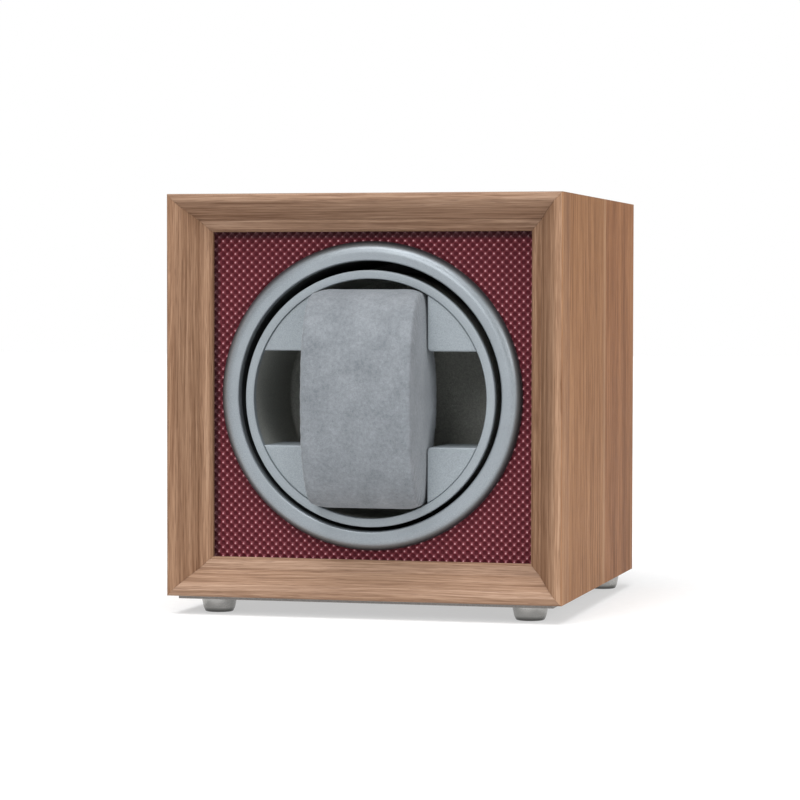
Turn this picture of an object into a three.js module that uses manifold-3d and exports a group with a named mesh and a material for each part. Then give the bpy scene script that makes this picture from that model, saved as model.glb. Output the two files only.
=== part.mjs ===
// A single watch winder: a square walnut box on four feet, whose round drum carries a suede
// watch pillow and is turned by a small gearmotor through a pair of spur gears.
//
// Millimetres, +Z up. The front faces -Y, and +X is on the right of a person looking at it.
// The origin is at the middle of the object's bounding box, on the surface that it stands on.
// Places along Y are given as a depth behind the front plane of the wooden frame.

import * as THREE from "three";
import { mergeVertices } from "three/addons/utils/BufferGeometryUtils.js";
import Module from "manifold-3d";

// ---------------------------------------------------------------- driving dimensions

const CABINET_WIDTH = 125; // and height: the front is square
const CABINET_DEPTH = 130;
const WALL = 6;
const BACK_PANEL = 5;
const CLEAT = 8; // square strips in the four long corners, which the back panel is screwed to

const FRAME_WIDTH = 11.6; // of the moulding, from the outer edge to the inner lip
const FRAME_DEPTH = 12.6; // from the front plane to the fascia
// Section of the moulding in [distance in from the cabinet's outer edge, depth].
const MOULDING = {
  edge: 0.8, // radius of the outer front edge
  bend: [3, 0.2], // draws the curve from the outer flat into the slope
  slopeStart: [4.2, 2.3],
  slopeEnd: [7.9, 7.9],
  hollow: [8.7, 9.1], // draws the curve from the slope out to the lip
  lip: [11.2, 10.2],
  lipEdge: 10.6,
};
const MITRE_GAP = 0.1;
const FIT_GAP = 0.2; // between a board and the walls that it slides between
const REST_GAP = 0.3; // between pieces that are cut to each other

const COVER = 0.6; // the leatherette on the fascia board
const FASCIA_BOARD = 3;
const BEZEL_OUTER = 48;
const BEZEL_INNER = 41.9;
// The ring's rounded front in [radius, depth], from its outer edge to its inner edge.
const BEZEL_FRONT = [
  [47.8, 11.6], [47.1, 10.4], [45.8, 9.5], [44.2, 9.2], [42.4, 9.3], [BEZEL_INNER, 9.8],
];
const SLEEVE_WALL = 1.5;

const AXIS_DROP = 0.8; // the drum's axis is this much below the middle of the bezel
const RIM = { outer: 39.8, inner: 37.2, front: 9.8, back: 12.3, edge: 0.35 };
const CUP = { outer: 39.3, inner: 37.25, floor: 51.5, back: 54 };

const BLOCK = { radius: 36.9, front: 10.3, back: 34, wall: 1.2, corner: 1.3 };
const SLOT_HALF_WIDTH = 18.4; // the upright slot that holds the pillow
const WINDOW_HALF_HEIGHT = 14.75; // the finger window that crosses it

const PILLOW = { halfHeight: 33.8, halfDepth: 18, centre: 10, halfWidth: 18.1, roundness: 2.4 };
const PILLOW_CORNER = 36.9; // its four long corners are trimmed to this radius about the drum's axis
const PILLOW_BULGE = 0.4; // how much further each end swells where the finger window frees it
const BAND = { halfWidth: 16.6, thickness: 1.6 };
const END_EDGE = 0.5; // thickness of an end panel at its seam
const END_RINGS = [0.94, 0.84, 0.7, 0.5, 0.25]; // where an end panel's face bends, seam to middle
const END_CROWN = { slot: 3, window: 4 }; // powers that set how flat its middle is
const WINDOW_CLEARANCE = 0.5; // the swelling stays this far from the window's edges

const GEAR_MODULE = 1;
const DRUM_TEETH = 48;
const PINION_TEETH = 12;
const PRESSURE_ANGLE = THREE.MathUtils.degToRad(20);
const ADDENDUM = 0.8 * GEAR_MODULE; // stub teeth, so that the pinion isn't undercut
const DEDENDUM = 1.1 * GEAR_MODULE;
const BACKLASH = 0.3;
const MESH_DIRECTION = THREE.MathUtils.degToRad(-50); // from the drum's axis to the pinion's
const GEAR = { front: 55.5, back: 61, hub: 9, thrust: 6, hubBack: 62 };

const BULKHEAD = { front: 64, back: 67, boss: 8.5, bossBack: 77 };
const BUSH = { outer: 5, flange: 7, front: 62.3, flangeBack: 63.8, back: 78 };
const AXLE = { radius: 3, head: 6, front: 49.7, headBack: 51.2, back: 80.5 };
const CLIP = { front: 78.4, back: 79.2, groove: 2.4, inner: 2.7, outer: 5, play: 0.1 };
const CLIP_MOUTH = THREE.MathUtils.degToRad(30); // half of the open angle
const RUNNING_CLEARANCE = 0.08;

const SHAFT = { radius: 1.5, front: 55.7, back: 69.5 };
const GEARBOX = { radius: 12, back: 85, boss: 3.7, bossFront: 64.6, bore: 70 };
const MOTOR = { radius: 10, back: 107, edge: 0.8 };
const MOTOR_SCREW = { apart: 17, head: 2.2, headFront: 62.4, headBack: 63.8, end: 72 };

const PLATE = { width: 74, height: 28, thickness: 1.5, aboveWood: 30 };
const BACK_CUTOUT = { width: 68, height: 22 };
const CIRCUIT_BOARD = { width: 66, height: 20, front: 116, back: 117.6 };
const SWITCH = { x: -23, size: 15, back: 129.7, bore: 123 };
const KNOB = { radius: 8, top: 7, height: 9.5, lift: 0.5, socket: 7.3, shoulder: 7.4, edge: 0.6 };
const POINTER = { width: 1.2, depth: 0.7, start: 2 }; // the groove in the knob's face
const ROCKER = { x: 1, width: 13, height: 19, flange: 1.3, lip: 1.5, pocket: 10.4, pocketHeight: 17.2 };
const ROCKER_WELL = 5; // depth of the pocket in front of the rocker's pivot
// Half of the rocker's section in [height above its pivot's plane, distance from the pivot].
const ROCKER_HALF = [[2.1, 0], [3.2, 7.5], [0.2, 7.5], [-2.5, 2.5]];
const ROCKER_TILT = THREE.MathUtils.degToRad(8);
const ROCKER_PIVOT = 130.2;
const JACK = { x: 25, radius: 4.7, flange: 5.8, lip: 1.1, bore: 3.2, pin: 1, pinRecess: 1, depth: 9 };
const LEAD_RADIUS = 1;
const LEAD_GAP = 0.5; // between the lead's end and the board
// The lead's route from the motor's back to the board: [across, up] from the motor's axis, and
// how far it has come towards the board.
const LEAD_ROUTE = [[-3, 0, 0], [-3.2, 0, 0.24], [-8, -4, 0.48], [-13.8, -7, 0.7], [-14, -7, 1]];

const BASE_SHEET = 1;
const BASE_INSET = 3;
const FOOT = { height: 4.9, top: 5.7, waist: 5.2, bottom: 4.6, flat: 4.3, edge: 0.35 };
const FOOT_RECESS = { radius: 2.7, top: 2.4 };
const FRONT_FOOT = { x: 50, depth: 15 };
const BACK_FOOT = { x: 54, depth: 119 };

const SCREW_SHANK = 1.2;
const SCREW_HOLE = 1.5;
const FOOT_SCREW = { head: 2.3, headBottom: 0.9, headTop: 2.2, reach: 4.4 };
const BACK_SCREW = { head: 2.6, headHeight: 1.1, length: 13 };

const RING_SEGMENTS = 60;
const TURNED_SEGMENTS = 24;
const SCREW_SEGMENTS = 10;
const PILLOW_SEGMENTS = 36;
const TOOTH_SEGMENTS = 6; // along a gear's bore and a block's corner
const MOULDING_SEGMENTS = 3;
const KNOB_SEGMENTS = 32;
const LEAD_STEPS = 14;
const LEAD_SEGMENTS = 4;
const CUT_PAST = 1; // a cutter runs this far past what it cuts

// ---------------------------------------------------------------- places worked out from them

const HALF = CABINET_WIDTH / 2;
const BACK = CABINET_DEPTH;
const PLATE_BACK = BACK + PLATE.thickness;
const FOREMOST = PILLOW.centre - PILLOW.halfDepth;
const REARMOST = PLATE_BACK + KNOB.lift + KNOB.height;
const FRONT_Y = -(FOREMOST + REARMOST) / 2;
const WOOD_BOTTOM = FOOT.height + BASE_SHEET;
const WOOD_TOP = WOOD_BOTTOM + CABINET_WIDTH;
const BEZEL_Z = WOOD_BOTTOM + HALF;
const DRUM_Z = BEZEL_Z - AXIS_DROP;
const COVER_BACK = FRAME_DEPTH + COVER;
const INNER_HALF = HALF - WALL; // to the inside of a wall
const BOARD_HALF = INNER_HALF - FIT_GAP;
const SLEEVE_OUTER = BEZEL_INNER + SLEEVE_WALL;
const PLATE_Z = WOOD_BOTTOM + PLATE.aboveWood;
const GEAR_CENTRES = (GEAR_MODULE * (DRUM_TEETH + PINION_TEETH)) / 2;
const PINION_X = GEAR_CENTRES * Math.cos(MESH_DIRECTION);
const PINION_Z = DRUM_Z + GEAR_CENTRES * Math.sin(MESH_DIRECTION);
const FEET = [
  ["front_left", -FRONT_FOOT.x, FRONT_FOOT.depth],
  ["front_right", FRONT_FOOT.x, FRONT_FOOT.depth],
  ["back_left", -BACK_FOOT.x, BACK_FOOT.depth],
  ["back_right", BACK_FOOT.x, BACK_FOOT.depth],
];
const CORNERS = [
  ["lower_left", -1, -1],
  ["lower_right", 1, -1],
  ["upper_left", -1, 1],
  ["upper_right", 1, 1],
];

const toY = (depth) => FRONT_Y + depth;

// ---------------------------------------------------------------- materials

function finish(color, roughness, metalness = 0) {
  return new THREE.MeshStandardMaterial({ color, roughness, metalness });
}

const walnut = finish(0xa57e63, 0.55);
const plainWood = finish(0xb39a78, 0.8);
const leatherette = finish(0x6b1f2e, 0.4);
const silverPaint = finish(0xa3acb1, 0.42, 0.25);
const blackPlastic = finish(0x17191a, 0.5);
const suede = finish(0x8e959b, 0.95);
const foam = finish(0xd8d3c4, 0.95);
const steel = finish(0xb4b6b8, 0.3, 1);
const brass = finish(0xb8964e, 0.35, 1);
const nylon = finish(0xe6e2d6, 0.5);
const footPaint = finish(0x9a9896, 0.4, 0.5);
const circuitBoard = finish(0x1f5a3a, 0.5);
const leadJacket = finish(0x8c1d18, 0.6);

// ---------------------------------------------------------------- solids and booleans

const wasm = await Module();
wasm.setup();

function toSolid(geometry) {
  const bare = geometry.clone();
  bare.deleteAttribute("normal");
  bare.deleteAttribute("uv");
  const merged = mergeVertices(bare);
  const vertProperties = merged.attributes.position.array;
  const triVerts = new Uint32Array(merged.index.array);
  return new wasm.Manifold(new wasm.Mesh({ numProp: 3, vertProperties, triVerts }));
}

function toGeometry(solid) {
  const made = solid.getMesh();
  const geometry = new THREE.BufferGeometry();
  geometry.setAttribute("position", new THREE.BufferAttribute(made.vertProperties, made.numProp));
  geometry.setIndex(new THREE.BufferAttribute(made.triVerts, 1));
  return geometry;
}

function cut(geometry, ...cutters) {
  return toGeometry(cutters.reduce((left, cutter) => left.subtract(toSolid(cutter)), toSolid(geometry)));
}

function join(geometry, ...others) {
  return toGeometry(others.reduce((whole, other) => whole.add(toSolid(other)), toSolid(geometry)));
}

function within(geometry, limit) {
  return toGeometry(toSolid(geometry).intersect(toSolid(limit)));
}

function mesh(name, geometry, material) {
  const made = new THREE.Mesh(geometry, material);
  made.name = name;
  return made;
}

// A box from its limits in X, in depth and in Z.
function box([x0, x1], [depth0, depth1], [z0, z1]) {
  const geometry = new THREE.BoxGeometry(x1 - x0, depth1 - depth0, z1 - z0);
  return geometry.translate((x0 + x1) / 2, toY((depth0 + depth1) / 2), (z0 + z1) / 2);
}

// A solid turned about a front-to-back axis, from [radius, depth] pairs that go round its outside
// from front to back, and back along its inside if it is a ring.
function turned(profile, segments = TURNED_SEGMENTS, x = 0, z = 0) {
  const points = profile.map(([radius, depth]) => new THREE.Vector2(radius, toY(depth)));
  return new THREE.LatheGeometry(points, segments).translate(x, 0, z);
}

// A solid turned about an upright axis, from [radius, z] pairs that go up its outside.
function turnedUpright(profile, segments, x, depth) {
  const points = profile.map(([radius, z]) => new THREE.Vector2(radius, z));
  return new THREE.LatheGeometry(points, segments).rotateX(Math.PI / 2).translate(x, toY(depth), 0);
}

function rod(radius, depth0, depth1, segments, x = 0, z = 0) {
  const profile = [[0, depth0], [radius, depth0], [radius, depth1], [0, depth1]];
  return turned(profile, segments, x, z);
}

// A plate cut to an outline that is drawn in X and Z, between two depths.
function plate(outline, depth0, depth1, curveSegments = RING_SEGMENTS / 4) {
  const settings = { depth: depth1 - depth0, bevelEnabled: false, curveSegments };
  return new THREE.ExtrudeGeometry(outline, settings).rotateX(Math.PI / 2).translate(0, toY(depth1), 0);
}

// A bar of one section, drawn in Y and Z, between two places along X.
function acrossX(section, x0, x1) {
  const settings = { depth: x1 - x0, bevelEnabled: false };
  const turn = new THREE.Matrix4().makeBasis(
    new THREE.Vector3(0, 1, 0),
    new THREE.Vector3(0, 0, 1),
    new THREE.Vector3(1, 0, 0),
  );
  return new THREE.ExtrudeGeometry(section, settings).applyMatrix4(turn).translate(x0, 0, 0);
}

function rectangle(halfWidth, halfHeight, x = 0, z = 0) {
  const outline = new THREE.Shape();
  outline.moveTo(x - halfWidth, z - halfHeight);
  outline.lineTo(x + halfWidth, z - halfHeight);
  outline.lineTo(x + halfWidth, z + halfHeight);
  outline.lineTo(x - halfWidth, z + halfHeight);
  return outline;
}

function circle(radius, x = 0, z = 0) {
  return new THREE.Shape().absarc(x, z, radius, 0, 2 * Math.PI);
}

// ---------------------------------------------------------------- cabinet

function footScrewHoles() {
  const top = WOOD_BOTTOM + FOOT_SCREW.reach + REST_GAP;
  const profile = [[0, 0], [SCREW_HOLE, 0], [SCREW_HOLE, top], [0, top]];
  return FEET.map(([, x, depth]) => turnedUpright(profile, SCREW_SEGMENTS, x, depth));
}

// One board of the cabinet along its top, about the middle of the front, with both ends mitred.
function mitredBoard() {
  const outer = HALF - MITRE_GAP / 2;
  const section = new THREE.Shape();
  section.moveTo(WALL - outer, INNER_HALF);
  section.lineTo(outer - WALL, INNER_HALF);
  section.lineTo(outer, HALF);
  section.lineTo(-outer, HALF);
  return plate(section, FRAME_DEPTH, BACK);
}

function cabinetBoards() {
  const names = ["cabinet_top", "cabinet_right", "cabinet_bottom", "cabinet_left"];
  return names.map((name, quarter) => {
    const board = mitredBoard().rotateY((quarter * Math.PI) / 2).translate(0, 0, BEZEL_Z);
    return mesh(name, name === "cabinet_bottom" ? cut(board, ...footScrewHoles()) : board, walnut);
  });
}

// The strips run from the bulkhead to the back panel, whose screws go into their ends.
function cornerCleats() {
  const low = INNER_HALF - CLEAT;
  const middle = INNER_HALF - CLEAT / 2;
  return CORNERS.flatMap(([corner, sideX, sideZ]) => {
    const x = [sideX * low, sideX * INNER_HALF].sort((a, b) => a - b);
    const z = [BEZEL_Z + sideZ * low, BEZEL_Z + sideZ * INNER_HALF].sort((a, b) => a - b);
    const screw = backScrewAt(sideX * middle, BEZEL_Z + sideZ * middle);
    const strip = box(x, [BULKHEAD.back, BACK - BACK_PANEL], z);
    return [
      mesh(`corner_cleat_${corner}`, cut(strip, screw.hole), plainWood),
      mesh(`back_screw_${corner}`, screw.body, steel),
    ];
  });
}

function backScrewAt(x, z) {
  const end = BACK - BACK_SCREW.length;
  const top = BACK + BACK_SCREW.headHeight;
  const profile = [[0, end], [SCREW_SHANK, end], [SCREW_SHANK, BACK], [BACK_SCREW.head, BACK]];
  profile.push([BACK_SCREW.head / 2, top], [0, top]);
  return {
    body: turned(profile, SCREW_SEGMENTS, x, z),
    hole: rod(SCREW_HOLE, end - REST_GAP, BACK + REST_GAP, SCREW_SEGMENTS, x, z),
  };
}

function backPanel() {
  const outline = rectangle(BOARD_HALF, BOARD_HALF, 0, BEZEL_Z);
  outline.holes.push(rectangle(BACK_CUTOUT.width / 2, BACK_CUTOUT.height / 2, 0, PLATE_Z));
  const place = INNER_HALF - CLEAT / 2;
  const holes = CORNERS.map(([, x, z]) => backScrewAt(x * place, BEZEL_Z + z * place).hole);
  return mesh("cabinet_back", cut(plate(outline, BACK - BACK_PANEL, BACK), ...holes), walnut);
}

function baseSheet() {
  const x = HALF - BASE_INSET;
  const sheet = box([-x, x], [BASE_INSET, BACK - BASE_INSET], [FOOT.height, WOOD_BOTTOM]);
  return mesh("base_sheet", cut(sheet, ...footScrewHoles()), blackPlastic);
}

function foot([place, x, depth]) {
  const profile = [[FOOT.flat, 0], [FOOT.bottom, FOOT.edge], [FOOT.waist, FOOT.height / 2]];
  profile.push([FOOT.top, FOOT.height], [SCREW_HOLE, FOOT.height], [SCREW_HOLE, FOOT_RECESS.top]);
  profile.push([FOOT_RECESS.radius, FOOT_RECESS.top], [FOOT_RECESS.radius, 0], profile[0]);
  const { head, headBottom, headTop } = FOOT_SCREW;
  const end = WOOD_BOTTOM + FOOT_SCREW.reach;
  const screw = [[0, headBottom], [head, headBottom], [head, headTop], [SCREW_SHANK, headTop]];
  screw.push([SCREW_SHANK, end], [0, end]);
  return [
    mesh(`foot_${place}`, turnedUpright(profile, TURNED_SEGMENTS, x, depth), footPaint),
    mesh(`foot_screw_${place}`, turnedUpright(screw, SCREW_SEGMENTS, x, depth), steel),
  ];
}

// ---------------------------------------------------------------- front frame and fascia

function mouldingSection() {
  const { edge, bend, slopeStart, slopeEnd, hollow, lip, lipEdge } = MOULDING;
  const section = new THREE.Shape();
  section.moveTo(0, FRAME_DEPTH);
  section.lineTo(0, edge);
  section.quadraticCurveTo(0, 0, edge, 0);
  section.quadraticCurveTo(...bend, ...slopeStart);
  section.lineTo(...slopeEnd);
  section.quadraticCurveTo(...hollow, ...lip);
  section.lineTo(FRAME_WIDTH, lipEdge);
  section.lineTo(FRAME_WIDTH, FRAME_DEPTH);
  return section;
}

// One length of moulding along the top edge, about the middle of the front. Its section is
// stretched along X, less at the lip than at the outer edge, so that both ends are mitred.
function mitredMoulding() {
  const settings = { depth: 1, bevelEnabled: false, curveSegments: MOULDING_SEGMENTS };
  const geometry = new THREE.ExtrudeGeometry(mouldingSection(), settings);
  const place = geometry.attributes.position;
  for (let i = 0; i < place.count; i += 1) {
    const inward = place.getX(i);
    const reach = HALF - inward - MITRE_GAP / 2;
    place.setXYZ(i, (2 * place.getZ(i) - 1) * reach, toY(place.getY(i)), HALF - inward);
  }
  return geometry;
}

function frontFrame() {
  const names = ["frame_rail_top", "frame_stile_right", "frame_rail_bottom", "frame_stile_left"];
  return names.map((name, quarter) => {
    const length = mesh(name, mitredMoulding(), walnut);
    length.position.z = BEZEL_Z;
    length.rotation.y = (quarter * Math.PI) / 2;
    return length;
  });
}

function fascia() {
  const outline = rectangle(BOARD_HALF, BOARD_HALF, 0, BEZEL_Z);
  outline.holes.push(circle(SLEEVE_OUTER + REST_GAP, 0, BEZEL_Z));
  return [
    mesh("fascia_cover", plate(outline, FRAME_DEPTH, COVER_BACK), leatherette),
    mesh("fascia_board", plate(outline, COVER_BACK, COVER_BACK + FASCIA_BOARD), plainWood),
  ];
}

function bezelRing() {
  const outside = [...BEZEL_FRONT.toReversed(), [BEZEL_OUTER, FRAME_DEPTH], [BEZEL_INNER, FRAME_DEPTH]];
  const profile = [...outside, outside[0]];
  return mesh("bezel_ring", turned(profile, RING_SEGMENTS, 0, BEZEL_Z), silverPaint);
}

// The black tunnel round the drum, from the bezel to the bulkhead.
function tunnelSleeve() {
  const profile = [
    [SLEEVE_OUTER, FRAME_DEPTH], [SLEEVE_OUTER, BULKHEAD.front], [BEZEL_INNER, BULKHEAD.front],
    [BEZEL_INNER, FRAME_DEPTH], [SLEEVE_OUTER, FRAME_DEPTH],
  ];
  return mesh("tunnel_sleeve", turned(profile, RING_SEGMENTS, 0, BEZEL_Z), blackPlastic);
}

// ---------------------------------------------------------------- drive

const motorScrewPlaces = () =>
  [-1, 1].map((side) => [PINION_X + (side * MOTOR_SCREW.apart) / 2, PINION_Z]);

const motorScrewHoles = () =>
  motorScrewPlaces().map(([x, z]) =>
    rod(SCREW_HOLE, MOTOR_SCREW.headBack, MOTOR_SCREW.end + REST_GAP, SCREW_SEGMENTS, x, z),
  );

function bulkhead() {
  const { front, back, boss, bossBack } = BULKHEAD;
  const board = plate(rectangle(BOARD_HALF, BOARD_HALF, 0, BEZEL_Z), front, back);
  const whole = join(board, rod(boss, front, bossBack, TURNED_SEGMENTS, 0, DRUM_Z));
  const bushDepth = [front - CUT_PAST, bossBack + CUT_PAST];
  const bushHole = rod(BUSH.outer + REST_GAP, ...bushDepth, TURNED_SEGMENTS, 0, DRUM_Z);
  const outputDepth = [front - CUT_PAST, back + CUT_PAST];
  const outputHole = rod(GEARBOX.boss + REST_GAP, ...outputDepth, TURNED_SEGMENTS, PINION_X, PINION_Z);
  return mesh("bulkhead", cut(whole, bushHole, outputHole, ...motorScrewHoles()), blackPlastic);
}

function bearingBush() {
  const bore = AXLE.radius + RUNNING_CLEARANCE;
  const { outer, flange, front, flangeBack, back } = BUSH;
  const profile = [[flange, front], [flange, flangeBack], [outer, flangeBack], [outer, back]];
  profile.push([bore, back], [bore, front], profile[0]);
  return mesh("bearing_bush", turned(profile, TURNED_SEGMENTS, 0, DRUM_Z), brass);
}

function gearmotor() {
  const bore = SHAFT.radius + RUNNING_CLEARANCE;
  const seat = BULKHEAD.back;
  const gearbox = turned(
    [[0, GEARBOX.bore], [bore, GEARBOX.bore], [bore, GEARBOX.bossFront],
      [GEARBOX.boss, GEARBOX.bossFront], [GEARBOX.boss, seat], [GEARBOX.radius, seat],
      [GEARBOX.radius, GEARBOX.back], [0, GEARBOX.back]],
    TURNED_SEGMENTS,
    PINION_X,
    PINION_Z,
  );
  const { radius, back, edge } = MOTOR;
  const can = [[0, GEARBOX.back], [radius, GEARBOX.back], [radius, back - edge]];
  can.push([radius - edge, back], [0, back]);
  return [
    mesh("gearbox", cut(gearbox, ...motorScrewHoles()), steel),
    mesh("motor_can", turned(can, TURNED_SEGMENTS, PINION_X, PINION_Z), steel),
    ...motorScrews(),
  ];
}

function motorScrews() {
  const { head, headFront, headBack, end } = MOTOR_SCREW;
  const profile = [[0, headFront], [head, headFront], [head, headBack], [SCREW_SHANK, headBack]];
  profile.push([SCREW_SHANK, end], [0, end]);
  return motorScrewPlaces().map(([x, z], index) =>
    mesh(`motor_screw_${index + 1}`, turned(profile, SCREW_SEGMENTS, x, z), steel),
  );
}

// The angle between a tooth's middle and its involute flank, at one radius.
function flankAngle(teeth, radius) {
  const pitchRadius = (GEAR_MODULE * teeth) / 2;
  const thickness = (Math.PI * GEAR_MODULE) / 2 - BACKLASH / 2;
  const involute = (angle) => Math.tan(angle) - angle;
  const baseRadius = pitchRadius * Math.cos(PRESSURE_ANGLE);
  const pressure = Math.acos(Math.min(1, baseRadius / radius));
  return thickness / (2 * pitchRadius) + involute(PRESSURE_ANGLE) - involute(pressure);
}

// A spur gear's outline with a tooth centred on the start angle and a round bore.
function gearOutline(teeth, startAngle, bore) {
  const pitchRadius = (GEAR_MODULE * teeth) / 2;
  const root = pitchRadius - DEDENDUM;
  const tip = pitchRadius + ADDENDUM;
  const flankFoot = Math.max(root, pitchRadius * Math.cos(PRESSURE_ANGLE));
  const flank = [root, flankFoot, pitchRadius, tip].filter((radius, i, all) => radius !== all[i - 1]);
  const outline = new THREE.Shape();
  const points = [];
  for (let tooth = 0; tooth < teeth; tooth += 1) {
    const middle = startAngle + (2 * Math.PI * tooth) / teeth;
    const half = (radius) => flankAngle(teeth, Math.max(radius, flankFoot));
    flank.forEach((radius) => points.push([radius, middle - half(radius)]));
    flank.toReversed().forEach((radius) => points.push([radius, middle + half(radius)]));
  }
  outline.setFromPoints(
    points.map(([radius, angle]) => new THREE.Vector2(radius * Math.cos(angle), radius * Math.sin(angle))),
  );
  outline.holes.push(circle(bore));
  return outline;
}

function drumGear() {
  const bore = AXLE.radius + REST_GAP;
  const teeth = plate(gearOutline(DRUM_TEETH, MESH_DIRECTION, bore), GEAR.front, GEAR.back, TOOTH_SEGMENTS);
  const hub = turned(
    [[GEAR.hub, CUP.back], [GEAR.hub, GEAR.back], [GEAR.thrust, GEAR.back], [GEAR.thrust, GEAR.hubBack],
      [bore, GEAR.hubBack], [bore, CUP.back], [GEAR.hub, CUP.back]],
  );
  return mesh("drum_gear", join(teeth, hub), nylon);
}

// The axle's head holds the cup against the gear, and a clip in its groove holds it in the bush.
function drumAxle() {
  const { radius, head, front, headBack, back } = AXLE;
  const profile = [
    [0, front], [head, front], [head, headBack], [radius, headBack], [radius, CLIP.front - CLIP.play],
    [CLIP.groove, CLIP.front - CLIP.play], [CLIP.groove, CLIP.back + CLIP.play],
    [radius, CLIP.back + CLIP.play],
    [radius, back], [0, back],
  ];
  const outline = new THREE.Shape();
  outline.absarc(0, 0, CLIP.outer, CLIP_MOUTH, 2 * Math.PI - CLIP_MOUTH, false);
  outline.absarc(0, 0, CLIP.inner, 2 * Math.PI - CLIP_MOUTH, CLIP_MOUTH, true);
  return [
    mesh("drum_axle", turned(profile), steel),
    mesh("axle_clip", plate(outline, CLIP.front, CLIP.back, TURNED_SEGMENTS / 2), steel),
  ];
}

// ---------------------------------------------------------------- drum

function drumShell() {
  const { outer, inner, front, back, edge } = RIM;
  const rim = [
    [outer - edge, front], [outer, front + edge], [outer, back], [inner, back],
    [inner, front + edge], [inner + edge, front], [outer - edge, front],
  ];
  const hole = AXLE.radius + REST_GAP;
  const cup = [
    [CUP.outer, back], [CUP.outer, CUP.back], [hole, CUP.back], [hole, CUP.floor],
    [CUP.inner, CUP.floor], [CUP.inner, back], [CUP.outer, back],
  ];
  return [
    mesh("drum_rim", turned(rim, RING_SEGMENTS), silverPaint),
    mesh("drum_cup", turned(cup, RING_SEGMENTS), blackPlastic),
  ];
}

// The outline of the upper right block, drawn in by a margin on every side.
function blockOutline(margin) {
  const x = SLOT_HALF_WIDTH + margin;
  const z = WINDOW_HALF_HEIGHT + margin;
  const radius = BLOCK.radius - margin;
  const corner = BLOCK.corner;
  const outline = new THREE.Shape();
  outline.absarc(0, 0, radius, Math.asin(z / radius), Math.acos(x / radius), false);
  outline.absarc(x + corner, z + corner, corner, Math.PI, 1.5 * Math.PI, false);
  return outline;
}

// Four hollow blocks fill the drum's mouth, and leave a cross: an upright slot for the pillow and
// a level window for the fingers.
function cornerBlocks() {
  const body = plate(blockOutline(0), BLOCK.front, BLOCK.back, TOOTH_SEGMENTS);
  const inside = [BLOCK.front + BLOCK.wall, BLOCK.back + CUT_PAST];
  const hollow = plate(blockOutline(BLOCK.wall), ...inside, TOOTH_SEGMENTS);
  const shell = cut(body, hollow);
  return CORNERS.map(([corner, sideX, sideZ]) => {
    const made = mesh(`drum_block_${corner}`, shell, silverPaint);
    made.scale.set(sideX, 1, sideZ);
    return made;
  });
}

// ---------------------------------------------------------------- pillow

// A point of the pillow's oval section in Y and Z, at one angle and drawn in by a margin.
function ovalPoint(angle, margin = 0) {
  const bend = (value) => Math.sign(value) * Math.abs(value) ** (2 / PILLOW.roundness);
  return new THREE.Vector2(
    toY(PILLOW.centre) + (PILLOW.halfDepth - margin) * bend(Math.cos(angle)),
    (PILLOW.halfHeight - margin) * bend(Math.sin(angle)),
  );
}

function oval(margin) {
  const points = [];
  for (let i = 0; i < PILLOW_SEGMENTS; i += 1) {
    points.push(ovalPoint((2 * Math.PI * i) / PILLOW_SEGMENTS, margin));
  }
  return new THREE.Shape(points);
}

// The round of the drum's mouth, which the pillow's long corners are trimmed to.
function pillowRound() {
  return rod(PILLOW_CORNER, FOREMOST - CUT_PAST, CUP.floor, RING_SEGMENTS);
}

function pillowBand() {
  const section = oval(0);
  section.holes.push(oval(BAND.thickness));
  const band = acrossX(section, -BAND.halfWidth, BAND.halfWidth);
  const core = oval(BAND.thickness + REST_GAP);
  return [
    mesh("pillow_band", within(band, pillowRound()), suede),
    mesh("pillow_core", acrossX(core, -BAND.halfWidth, BAND.halfWidth), foam),
  ];
}

// The right end panel. A disc whose rings are spread over the oval: lathe height 0 is its flat
// inner face and lathe height 1 is its swelling outer face.
function endPanel() {
  const rings = [[0, 0], [1, 0], [1, 1], ...END_RINGS.map((ring) => [ring, 1]), [0, 1]];
  const disc = new THREE.LatheGeometry(
    rings.map(([radius, height]) => new THREE.Vector2(radius, height)),
    PILLOW_SEGMENTS,
  );
  const inner = BAND.halfWidth + REST_GAP;
  const middle = toY(PILLOW.centre);
  const place = disc.attributes.position;
  for (let i = 0; i < place.count; i += 1) {
    const [z, height, y] = [place.getX(i), place.getY(i), place.getZ(i)];
    const ring = Math.hypot(y, z);
    const edge = ovalPoint(Math.atan2(z, y));
    const thickness = endThickness(ring, ring * edge.y);
    place.setXYZ(i, inner + height * thickness, middle + ring * (edge.x - middle), ring * edge.y);
  }
  return disc;
}

// The panel swells towards its middle, and further where the finger window frees it.
function endThickness(ring, z) {
  const swell = PILLOW.halfWidth - BAND.halfWidth - REST_GAP - END_EDGE;
  const freeHeight = WINDOW_HALF_HEIGHT - WINDOW_CLEARANCE;
  const freed = Math.abs(z) < freeHeight ? Math.cos((Math.PI * z) / (2 * freeHeight)) ** 2 : 0;
  const crown = (power) => 1 - ring ** power;
  return END_EDGE + swell * crown(END_CROWN.slot) + PILLOW_BULGE * freed * crown(END_CROWN.window);
}

function pillowEnds() {
  const panel = within(endPanel(), pillowRound());
  const right = mesh("pillow_end_right", panel, suede);
  const left = mesh("pillow_end_left", panel, suede);
  left.scale.x = -1;
  return [left, right];
}

// ---------------------------------------------------------------- controls on the back

function controlPlate() {
  const outline = rectangle(PLATE.width / 2, PLATE.height / 2, 0, PLATE_Z);
  outline.holes.push(circle(AXLE.radius + REST_GAP, SWITCH.x, PLATE_Z));
  outline.holes.push(circle(JACK.radius + REST_GAP, JACK.x, PLATE_Z));
  const halfWidth = ROCKER.width / 2 + REST_GAP;
  const halfHeight = ROCKER.height / 2 + REST_GAP;
  outline.holes.push(rectangle(halfWidth, halfHeight, ROCKER.x, PLATE_Z));
  return mesh("control_plate", plate(outline, BACK, PLATE_BACK, TURNED_SEGMENTS / 2), blackPlastic);
}

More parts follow.
